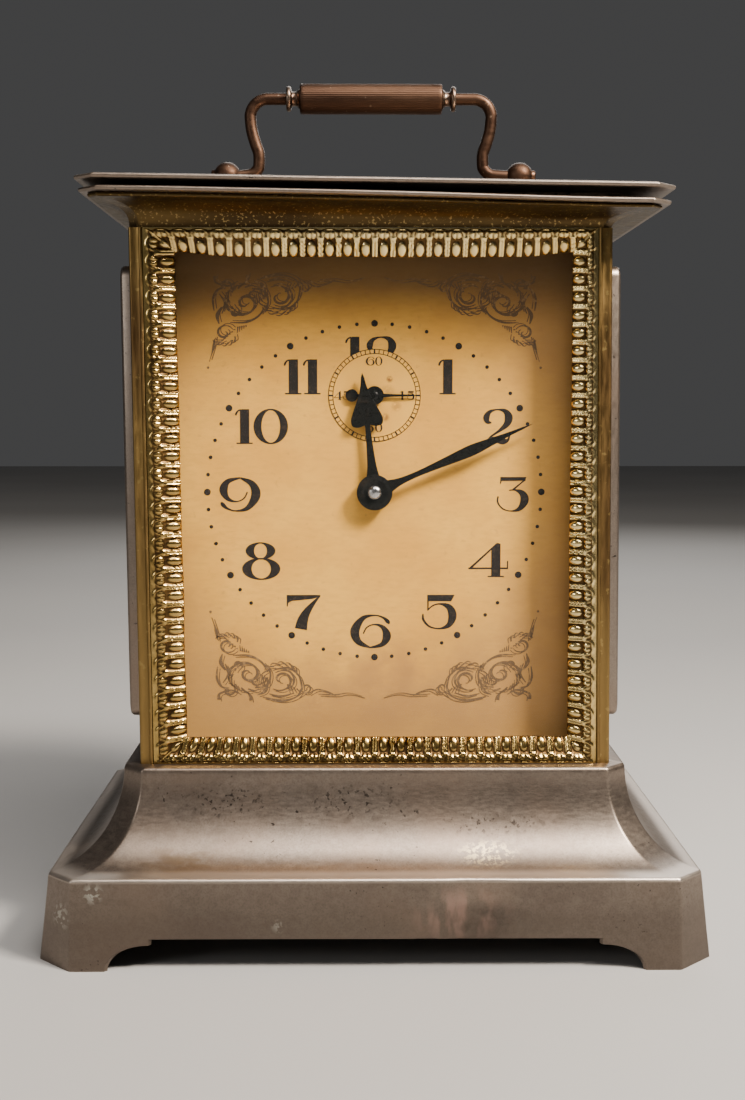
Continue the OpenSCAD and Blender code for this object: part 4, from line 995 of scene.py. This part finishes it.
# Digits about 8.6 mm high, as outlines (x, z), pen strokes (x, z, width) and rings (centre, radii)
FIGURES = {
    "1": [("outline", [(-1.1, -4.05), (1.2, -4.05), (1.2, 4.25), (-0.6, 4.25), (-1.1, 4.0)]),
          ("outline", [(-2.0, -4.3), (2.0, -4.3), (2.0, -3.98), (-2.0, -3.98)]),
          ("stroke", [(-0.8, 4.05, 0.45), (-1.5, 3.85, 0.4), (-2.0, 3.2, 0.5), (-2.1, 2.7, 0.35)])],
    "0": [("ring", (0.0, 0.0), (4.25, 4.35), (2.3, 4.0))],
    "2": [("stroke", [(-1.5, 0.9, 0.3), (-2.5, 1.2, 1.1), (-2.75, 2.3, 1.6), (-1.9, 3.6, 0.9),
                      (0.0, 4.15, 0.35), (1.9, 3.7, 1.2), (2.75, 2.2, 2.0), (2.2, 0.5, 1.5),
                      (0.4, -1.1, 0.7), (-1.6, -2.5, 0.45), (-2.9, -4.0, 0.35)]),
          ("stroke", [(-2.9, -4.0, 0.35), (-2.0, -3.2, 0.8), (-0.4, -3.2, 1.4), (1.3, -3.65, 1.6),
                      (2.5, -3.4, 0.8), (3.0, -2.3, 0.35), (3.05, -1.7, 0.3)])],
    "3": [("outline", [(-2.9, 4.3), (3.6, 4.3), (3.2, 3.4), (-2.6, 3.3), (-2.75, 2.6), (-2.95, 2.6)]),
          ("stroke", [(3.35, 3.7, 0.4), (1.9, 2.5, 0.35), (0.3, 1.15, 0.5)]),
          ("stroke", [(-0.7, 1.0, 0.3), (0.9, 1.05, 0.5), (2.6, 0.2, 1.6), (3.15, -1.5, 2.1),
                      (2.0, -3.5, 1.2), (0.0, -4.15, 0.35), (-2.2, -3.6, 0.35), (-3.5, -2.0, 0.4),
                      (-3.4, -0.5, 0.35)])],
    "4": [("outline", [(0.7, -4.0), (3.0, -4.0), (3.0, 4.1), (2.2, 4.3), (0.7, 3.0)]),
          ("outline", [(-0.2, -4.25), (3.9, -4.25), (3.9, -3.95), (-0.2, -3.95)]),
          ("outline", [(-5.0, -2.25), (4.9, -2.25), (4.9, -1.85), (-5.0, -1.85)]),
          ("outline", [(4.6, -2.0), (4.9, -2.0), (4.95, -0.2), (4.65, -0.2)]),
          ("outline", [(-5.0, -2.1), (-4.2, -2.1), (2.4, 4.1), (2.0, 4.25)])],
    "5": [("outline", [(-3.1, 4.3), (3.7, 4.3), (2.9, 2.7), (-3.1, 2.7)]),
          ("outline", [(-3.1, 2.8), (-2.75, 2.8), (-2.75, 0.4), (-3.1, 0.3)]),
          ("stroke", [(-2.95, 0.45, 0.3), (-1.7, 1.6, 0.35), (0.3, 2.0, 0.5), (2.4, 1.1, 1.6),
                      (3.2, -1.0, 2.1), (2.3, -3.3, 1.3), (0.0, -4.2, 0.4), (-2.5, -3.7, 0.45),
                      (-4.0, -2.1, 0.6), (-4.2, -0.5, 0.35)])],
    "6": [("stroke", [(4.6, 1.9, 0.35), (4.2, 2.5, 1.0), (3.0, 3.5, 0.55), (0.9, 4.05, 0.35),
                      (-2.0, 3.3, 1.2), (-4.0, 0.2, 2.3), (-3.1, -2.6, 1.6), (-0.2, -4.1, 0.4)]),
          ("stroke", [(-0.2, -4.1, 0.4), (2.8, -3.3, 1.2), (4.0, -1.2, 2.1), (3.0, 1.0, 1.1),
                      (0.9, 1.75, 0.35), (-1.0, 1.0, 0.35), (-1.9, -0.6, 0.35)])],
    "7": [("outline", [(-4.2, 4.3), (4.2, 4.3), (4.2, 3.9), (2.2, 3.3), (-2.9, 2.8), (-3.8, 2.3),
                       (-3.95, 1.4), (-4.2, 1.4)]),
          ("stroke", [(4.05, 4.0, 0.35), (2.6, 2.4, 0.9), (0.9, 0.2, 1.8), (-0.2, -2.0, 2.6),
                      (-0.7, -4.3, 3.1)])],
    "8": [("ring", (-0.15, 2.55), (3.7, 2.15), (1.6, 1.85)),
          ("ring", (0.0, -1.95), (4.75, 2.75), (2.4, 2.4))],
}
FIGURES["9"] = "6"


def figure(ink, digit, at, size=1.0, squeeze=1.0):
    """One digit, centred at a place on the dial."""
    flip = (squeeze, 1)
    parts = FIGURES[digit]
    if isinstance(parts, str):
        parts = FIGURES[parts]
        flip = (-squeeze, -1)
    for kind, *shape in parts:
        if kind == "outline":
            ink.outline(shape[0], at, size, flip)
        elif kind == "stroke":
            ink.stroke(shape[0], at, size, flip)
        else:
            (cx, cz), outer, inner = shape
            x, z = at[0] + flip[0] * size * cx, at[1] + flip[1] * size * cz
            ink.ring(oval(x, z, outer[0] * size * squeeze, outer[1] * size, 56),
                     oval(x, z, inner[0] * size * squeeze, inner[1] * size, 56))


# Centres of the hour figures from the dial's centre
HOUR_PLACES = {
    "1": (18.0, 28.4), "2": (30.4, 16.2), "3": (34.1, -0.6), "4": (28.4, -17.0),
    "5": (16.3, -30.0), "6": (-0.9, -34.9), "7": (-17.7, -30.0), "8": (-28.2, -17.2),
    "9": (-33.4, -0.6), "10": (-27.7, 16.2), "11": (-17.7, 28.4), "12": (-0.2, 33.9),
}
PAIRS = {"10": ((-4.4, "1"), (2.1, "0")), "11": ((-2.3, "1"), (2.4, "1")), "12": ((-4.7, "1"), (1.8, "2"))}


def hour_figures():
    ink = Print(PAPER_Y - INK_T)
    for hour, (x, z) in HOUR_PLACES.items():
        for shift, digit in PAIRS.get(hour, ((0, hour),)):
            figure(ink, digit, (x + shift, DIAL_Z + z))
    dot_ring = 41.4
    minute_r, hour_r = 0.46, 0.84
    for i in range(60):
        a = math.radians(6 * i)
        r = minute_r if i % 5 else hour_r
        ink.outline(oval(dot_ring * math.sin(a), DIAL_Z + dot_ring * math.cos(a), r, r, 16))
    ink.shape.make("dial_figures", INK, "case", sharp=30)


def seconds_dial():
    """The small dial: its ground, track, divisions and four figures."""
    edge, inside = 11.3, 10.25
    ground = Shape()
    level = PAPER_Y - 2 * INK_T
    ground.ring_slab(oval(0, SECONDS_Z, edge, edge, 96), oval(0, SECONDS_Z, 1.4, 1.4, 96),
                     level, level + INK_T)
    ground.make("seconds_ground", SECONDS_PAPER, "case", slot="dial_paper", sharp=30)
    ink = Print(level - INK_T)
    line = 0.09
    for r in (edge, inside):
        ink.ring(oval(0, SECONDS_Z, r + line, r + line, 96), oval(0, SECONDS_Z, r - line, r - line, 96))
    for i in range(60):
        a = math.radians(6 * i)
        w = 0.10 if i % 5 else 0.2
        out, along = (math.sin(a), math.cos(a)), (math.cos(a), -math.sin(a))
        corners = [(r * out[0] + s * w * along[0], SECONDS_Z + r * out[1] + s * w * along[1])
                   for r, s in ((inside, -1), (inside, 1), (edge, 1), (edge, -1))]
        ink.outline(corners)
    size, squeeze, half_gap = 0.25, 0.85, 1.05
    for text, x, z in (("60", 0, 8.4), ("15", 7.9, 0), ("30", 0, -7.9), ("45", -7.9, 0)):
        for side, digit in zip((-1, 1), text):
            figure(ink, digit, (x + side * half_gap, SECONDS_Z + z), size, squeeze)
    ink.shape.make("seconds_figures", INK, "case", sharp=30)


def spiral(cx, cz, r0, r1, start, turns, width):
    """A scroll that opens from r0 to r1, anticlockwise for positive turns, as stroke points."""
    steps = max(8, round(abs(turns) * 14))
    out = []
    for i in range(steps + 1):
        f = i / steps
        a = math.radians(start + 360 * turns * f)
        r = r0 + (r1 - r0) * f
        swell = 0.45 + 0.9 * math.sin(math.pi * f)
        out.append((cx + r * math.cos(a), cz + r * math.sin(a), width * swell))
    return out


def corner_scrolls():
    """A plain scroll of volutes and leaves in each corner of the paper."""
    ink = Print(PAPER_Y - INK_T)
    strokes = [
        spiral(8.3, 8.6, 0.5, 3.3, 40, 1.35, 0.62),
        spiral(7.9, 8.0, 3.6, 4.6, 60, 0.42, 0.5),
        spiral(5.6, 11.0, 0.3, 1.5, 250, -0.9, 0.5),
        spiral(10.3, 6.6, 0.3, 1.5, 20, 0.9, 0.5),
        [(11.3, 4.4, 0.3), (13.4, 5.8, 0.7), (13.9, 9.0, 0.5), (12.6, 11.6, 0.25)],
        [(15.0, 9.8, 0.3), (18.4, 10.2, 0.7), (20.9, 8.2, 0.5), (21.9, 5.2, 0.3)],
        [(2.0, 6.0, 0.3), (3.4, 8.6, 0.7), (2.6, 11.4, 0.3)],
        spiral(16.6, 6.9, 0.5, 3.3, 250, -1.05, 0.6),
        spiral(17.0, 6.2, 2.2, 4.1, 300, 0.52, 0.5),
        spiral(3.2, 16.6, 0.35, 2.3, -60, 1.1, 0.55),
        spiral(3.4, 3.9, 0.4, 2.0, 90, 1.0, 0.5),
        spiral(22.8, 4.6, 0.3, 1.6, 200, -0.9, 0.42),
        [(0.7, 10.6, 0.3), (0.5, 7.4, 0.7), (1.6, 5.0, 0.6), (3.6, 4.6, 0.35)],
        [(1.9, 14.2, 0.3), (1.5, 11.8, 1.1), (2.6, 9.6, 0.4)],
        [(4.6, 13.8, 0.25), (8.6, 13.7, 0.65), (11.6, 12.0, 0.6), (13.0, 9.6, 0.25)],
        [(1.0, 1.3, 1.1), (1.2, 3.0, 0.7), (4.2, 3.9, 0.6), (6.0, 3.2, 0.4)],
        [(9.0, 1.0, 1.0), (8.5, 2.9, 0.6), (6.6, 4.1, 0.4)],
        [(10.6, 2.6, 0.3), (12.7, 3.8, 1.0), (13.3, 7.0, 0.35)],
        [(12.0, 2.0, 0.35), (16.2, 1.0, 0.9), (19.6, 1.6, 0.5), (23.0, 4.0, 0.3)],
        [(13.6, 2.9, 0.25), (16.6, 2.2, 0.7), (19.8, 3.1, 0.3)],
        [(20.4, 2.0, 0.3), (21.8, 4.4, 0.7), (21.2, 7.4, 0.25)],
        [(23.4, 2.9, 0.3), (25.6, 4.1, 0.5), (28.0, 3.6, 0.3), (29.6, 2.9, 0.2)],
        [(26.0, 2.8, 0.2), (30.2, 2.6, 0.4), (33.4, 3.1, 0.2), (37.0, 2.2, 0.14)],
        [(0.8, 18.2, 0.25), (0.6, 20.0, 0.9), (0.0, 22.4, 0.3), (-0.6, 24.4, 0.2)],
    ]
    for cx, cz, r, first, count in ((8.3, 8.6, 4.3, 150, 8), (16.6, 6.9, 4.2, 20, 7),
                                    (3.2, 16.6, 2.7, 20, 5)):
        for i in range(count):
            root = math.radians(first + 24 * i)
            leaf = [(root, r, 0.5), (root + 0.35, r + 0.8, 0.4), (root + 0.35 + 0.2, r + 0.7, 0.2)]
            strokes.append([(cx + out * math.cos(a), cz + out * math.sin(a), w) for a, out, w in leaf])
    for i in range(7):
        strokes.append([(0.9 + 0.75 * i, 20.2 - 0.75 * i, 0.2), (2.3 + 0.6 * i, 19.0 - 0.55 * i, 0.5)])
    for i in range(5):
        strokes.append([(6.3 + 0.55 * i, 16.7 - 0.4 * i, 0.2), (6.5 + 0.5 * i, 14.9 - 0.1 * i, 0.5)])
        strokes.append([(19.0 + 0.8 * i, 2.6 + 0.2 * i, 0.2), (18.2 + 0.75 * i, 5.6 - 0.4 * i, 0.5)])
        strokes.append([(10.4 + 0.5 * i, 5.2, 0.2), (11.0 + 0.45 * i, 8.8 - 0.3 * i, 0.45)])
    for fx, fz, half in ((1, 1, 53.3), (-1, 1, 53.3), (1, -1, 54.0), (-1, -1, 54.0)):
        at = (-fx * 40.0, DIAL_Z - fz * half)
        for line in strokes:
            main = [(x, z, w * 0.85) for x, z, w in line]
            beside = [(x + 0.65, z - 0.55, 0.24) for x, z, _ in line]
            ink.stroke(main, at, 1.0, (fx, 0.9 * fz))
            if len(line) > 2:
                ink.stroke(beside, at, 1.0, (fx, 0.9 * fz))
        ink.outline(oval(at[0] - fx * 0.9, at[1] + fz * 23.4, 0.32, 0.32, 12))
    ink.shape.make("corner_scrolls", SCROLL_INK, "case", sharp=30)


# ------------------------------------------------------------------ hands

MINUTE_BORE = 1.66
HOUR_BORE = 2.32
SECONDS_ANGLE = 90
HOUR_ANGLE = -6
# The minute hand's tip is this far behind the corner of its box, in degrees
SLIP = 0.5


def turned(points, angle, at):
    """Points drawn pointing up, turned clockwise by angle degrees and moved to at."""
    a = math.radians(angle)
    return [(at[0] + x * math.cos(a) + z * math.sin(a), at[1] - x * math.sin(a) + z * math.cos(a))
            for x, z in points]


def mirrored(edge, tip):
    """A whole outline from its right edge, going up, and its tip."""
    return [tuple(p) for p in edge] + [tip] + [(-x, z) for x, z in reversed(edge)]


def hub(shape, at, front, back, outer, bore):
    """A disc with a softened edge and a shallow raised ring, bored through."""
    profile = [(bore, back), (outer - 0.1, back), (outer, back - 0.1), (outer, front + 0.12),
               (outer - 0.12, front), (outer - 0.75, front - 0.02), (outer - 0.95, front - 0.14),
               (outer - 1.5, front - 0.16), (outer - 1.7, front - 0.04), (bore, front)]
    rings = [[(at[0] + r * math.cos(2 * math.pi * i / 64), y, at[1] + r * math.sin(2 * math.pi * i / 64))
              for i in range(64)] for r, y in profile]
    shape.skin(rings, turn=True)


def hands():
    """Hour, minute and seconds hands, drawn pointing up and then turned to where the CAD's point."""
    centre = (0.0, DIAL_Z)
    low, high = box_mm("minute_hand")
    angle = math.degrees(math.atan2(high.x, high.z - DIAL_Z)) - SLIP
    edge = [(1.75, 3.4), (0.95, 6.5), (0.68, 10.5), (0.85, 16), (1.25, 22.5), (1.38, 26.5), (0.98, 31),
            (0.5, 36), (0.3, 39.5)]
    shape = Shape()
    shape.slab(turned(mirrored(through(edge, 4), (0, 42.5)), angle, centre), low.y + 0.02, high.y)
    hub(shape, centre, low.y, high.y, 4.4, MINUTE_BORE)
    shape.make("minute_hand_blade", BLACK, "centre_arbor", ["minute_hand"], "black_hands", 40, 0.12)

    low, high = box_mm("hour_hand")
    stem = [(1.7, 3.4), (1.15, 6.5), (0.85, 11), (0.62, 15.9)]
    spade = [(0.7, 16.6), (2.2, 16.2), (3.6, 16.6), (3.95, 17.9), (3.3, 19.9), (1.9, 22.9), (0.9, 25.7),
             (0.42, 28.3)]
    shape = Shape()
    outline = mirrored(through(stem, 3) + through(spade, 5), (0, 29.5))
    shape.slab(turned(outline, HOUR_ANGLE, centre), low.y + 0.02, high.y)
    hub(shape, centre, low.y, high.y, 4.3, HOUR_BORE)
    shape.make("hour_hand_spade", BLACK, "hour_wheel", ["hour_hand"], "black_hands", 40, 0.12)

    low, high = box_mm("seconds_hand")
    at = (0.0, SECONDS_Z)
    front, back = low.y, low.y + 0.3
    shape = Shape()
    needle = mirrored([(0.5, 1.5), (0.33, 4.5), (0.24, 9)], (0, 10.9))
    tail = [(-0.32, -5.2), (0.32, -5.2), (0.42, -1.4), (-0.42, -1.4)]
    for outline in (needle, tail):
        shape.slab(turned(outline, SECONDS_ANGLE, at), front + 0.02, back)
    shape.slab(turned(oval(0, -5.6, 1.55, 1.55, 32), SECONDS_ANGLE, at), front, back)
    shape.slab(oval(*at, 2.3, 2.3, 40), front, back)
    shape.lathe([(0, 0.9), (0.06, 1.0), (back - front + 1.4, 1.0)], (at[0], back - 0.01, at[1]), 1, 32)
    shape.lathe([(-0.22, 0.35), (-0.16, 0.75), (0.02, 0.95)], (at[0], front, at[1]), 1, 24)
    shape.make("seconds_hand_needle", BLACK, "seconds_arbor", ["seconds_hand"], "black_hands", 40, 0.05)

    dome = Shape()
    r = 1.6
    rise = 0.82
    profile = [(-rise, 0.12)]
    profile += [(-rise * math.cos(math.radians(t)), r * math.sin(math.radians(t)))
                for t in range(12, 91, 13)]
    profile += [(0.05, r), (0.3, r)]
    dome.lathe(profile, (0, box_mm("cannon_pinion")[0].y + 0.35, DIAL_Z), 1, 40)
    dome.make("centre_dome", CASE_LOOKS["steel"], "centre_arbor", slot="steel")


# ------------------------------------------------------------------ handle

def handle():
    """Fluted grip, turned ferrules and two bent arms. The right arm is bent inwards."""
    z = (GRIP_LOW.z + GRIP_HIGH.z) / 2 - 0.35
    r = (GRIP_HIGH.z - GRIP_LOW.z) / 2 - 0.12
    middle_x, half = -0.65, GRIP_HIGH.x - 0.55
    flutes = 44
    sides = flutes * 4

    def fluted(i, along):
        depth = 0.018 * smooth((half - abs(along) - 0.5) / 0.6)
        return 1 - depth * (1 - math.cos(2 * math.pi * i * flutes / sides)) / 2

    grip = Shape()
    ends = [(-half, r * 0.55), (-half, r - 0.45), (-half + 0.15, r - 0.12), (-half + 0.5, r)]
    middle = [(-half + 1.2 + (2 * half - 2.4) * i / 12, r) for i in range(13)]
    profile = ends + middle + [(-a, b) for a, b in reversed(ends)]
    grip.lathe(profile, (middle_x, 0, z), 0, sides, fluted)
    grip.make("grip", BRONZE, "handle", ["handle_grip"], "handle_bronze", sharp=60)

    ferrules = Shape()
    length = box_mm("handle_ferrules")[1].x - GRIP_HIGH.x
    neck_end = length - 1.2
    profile = [(0.0, 1.0), (0.0, 2.35), (0.25, 2.45), (0.5, 2.2), (0.8, 1.85), (neck_end - 0.5, 1.8),
               (neck_end - 0.1, 2.1), (neck_end, 2.9), (neck_end + 0.2, 3.15), (neck_end + 0.6, 3.2),
               (length - 0.2, 3.1), (length, 2.8), (length, 1.0)]
    for side in (-1, 1):
        line = [(side * a, b) for a, b in profile]
        ferrules.lathe(line, (middle_x + side * half, 0, z), 0, 48)
    ferrules.make("ferrules", FERRULE, "handle", ["handle_ferrules"], "handle_bronze", sharp=50)

    arm_r = 1.525
    pivot = box_mm("handle_arm_right")[0].z + arm_r
    ball_in = 38 - 3.5
    bend = 4.6
    for side, name, inset in ((-1, "left", 0.0), (1, "right", 1.35)):
        shoulder = 31.9 - inset
        foot = 29.65 - inset
        line = [(half + side * middle_x + length - 0.4, z)]
        line += arc(shoulder - bend, z - bend, bend, 90, 0, 7)
        line += [(shoulder - 0.35, z - 8.0), (foot + 0.95, z - 11.4), (foot + 0.1, pivot + 5.6)]
        line += arc(foot + 3.2, pivot + 3.4, 3.2, 180, 262, 5)[1:]
        line += [(ball_in - 0.6, pivot + 0.03), (ball_in + 0.4, pivot)]
        arm = Shape()
        curve = through([(side * x, 0, h) for x, h in line], 4)
        arm.tube(curve, arm_r, 24)
        pin = [(side * (ball_in - 0.5), arm_r), (side * (ball_in + 7.3), arm_r),
               (side * (ball_in + 7.6), arm_r - 0.3)]
        arm.lathe(pin, (0, 0, pivot), 0, 32)
        arm.make("arm_" + name, BRONZE, "handle", ["handle_arm_" + name], "handle_bronze", sharp=50)


# ------------------------------------------------------------------ stage

def studio():
    """Pale floor, lamps and the camera at the photo's angle."""
    floor = bpy.data.meshes.new("floor")
    reach = 3.0
    floor.from_pydata([(-reach, -reach, 0), (reach, -reach, 0), (reach, reach, 0), (-reach, reach, 0)],
                      [], [(0, 1, 2, 3)])
    ground = Look("floor", roughness=0.85)
    ground.colour(ground.mix(ground.span(ground.noise(400, detail=2), 0.3, 0.7),
                             (0.33, 0.325, 0.32), (0.30, 0.295, 0.29)))
    floor.materials.append(ground.material)
    piece = bpy.data.objects.new("floor", floor)
    bpy.context.scene.collection.objects.link(piece)

    world = bpy.data.worlds.new("studio")
    bpy.context.scene.world = world
    world.use_nodes = True
    background = world.node_tree.nodes["Background"]
    background.inputs["Color"].default_value = (0.86, 0.86, 0.87, 1)
    background.inputs["Strength"].default_value = 0.07

    target = Vector((0, -0.03, 0.11))
    # Name, place, size, watts and tint
    lamps = [("key", (0.42, -0.30, 0.62), 0.15, 17.5, (1.0, 0.90, 0.78)),
             ("overhead", (0.12, -0.34, 0.78), 0.42, 7.0, (1.0, 0.93, 0.86)),
             ("front_fill", (-0.35, -1.10, 0.45), 0.9, 0.25, (1.0, 0.96, 0.92)),
             ("left_strip", (-0.70, -0.55, 0.35), 0.22, 1.2, (1.0, 0.97, 0.93)),
             ("back_soft", (0.2, 0.9, 0.7), 0.8, 6.0, (1.0, 0.98, 0.95))]
    for name, place, size, power, tint in lamps:
        lamp = bpy.data.lights.new(name, "AREA")
        lamp.shape = "SQUARE"
        lamp.size = size
        lamp.energy = power
        lamp.color = tint
        lit = bpy.data.objects.new(name, lamp)
        lit.location = place
        lit.rotation_euler = (target - Vector(place)).to_track_quat("-Z", "Y").to_euler()
        bpy.context.scene.collection.objects.link(lit)

    camera = bpy.data.cameras.new("camera")
    camera.lens = 48.45
    camera.sensor_width = 36
    camera.clip_start = 0.01
    eye = bpy.data.objects.new("camera", camera)
    eye.location = (-0.0038, -0.3928, 0.1304)
    eye.rotation_euler = (math.pi / 2 - 0.095, 0, -0.009)
    bpy.context.scene.collection.objects.link(eye)
    bpy.context.scene.camera = eye


# ------------------------------------------------------------------ assembly

# Every carried-over node of the part takes its record slot's look
for part in frame["record"]["subparts"]:
    node = frame["nodes"][part["node"]]
    look = CASE_LOOKS[part["material_slot"]]
    if not node.material_slots:
        node.data.materials.append(look)
    for slot in node.material_slots:
        slot.material = look

base_piece()
side_panels()
posts()
cornice_piece()
plates()
rear_door_piece()
bezel_piece()
hour_figures()
seconds_dial()
corner_scrolls()
hands()
handle()
studio()
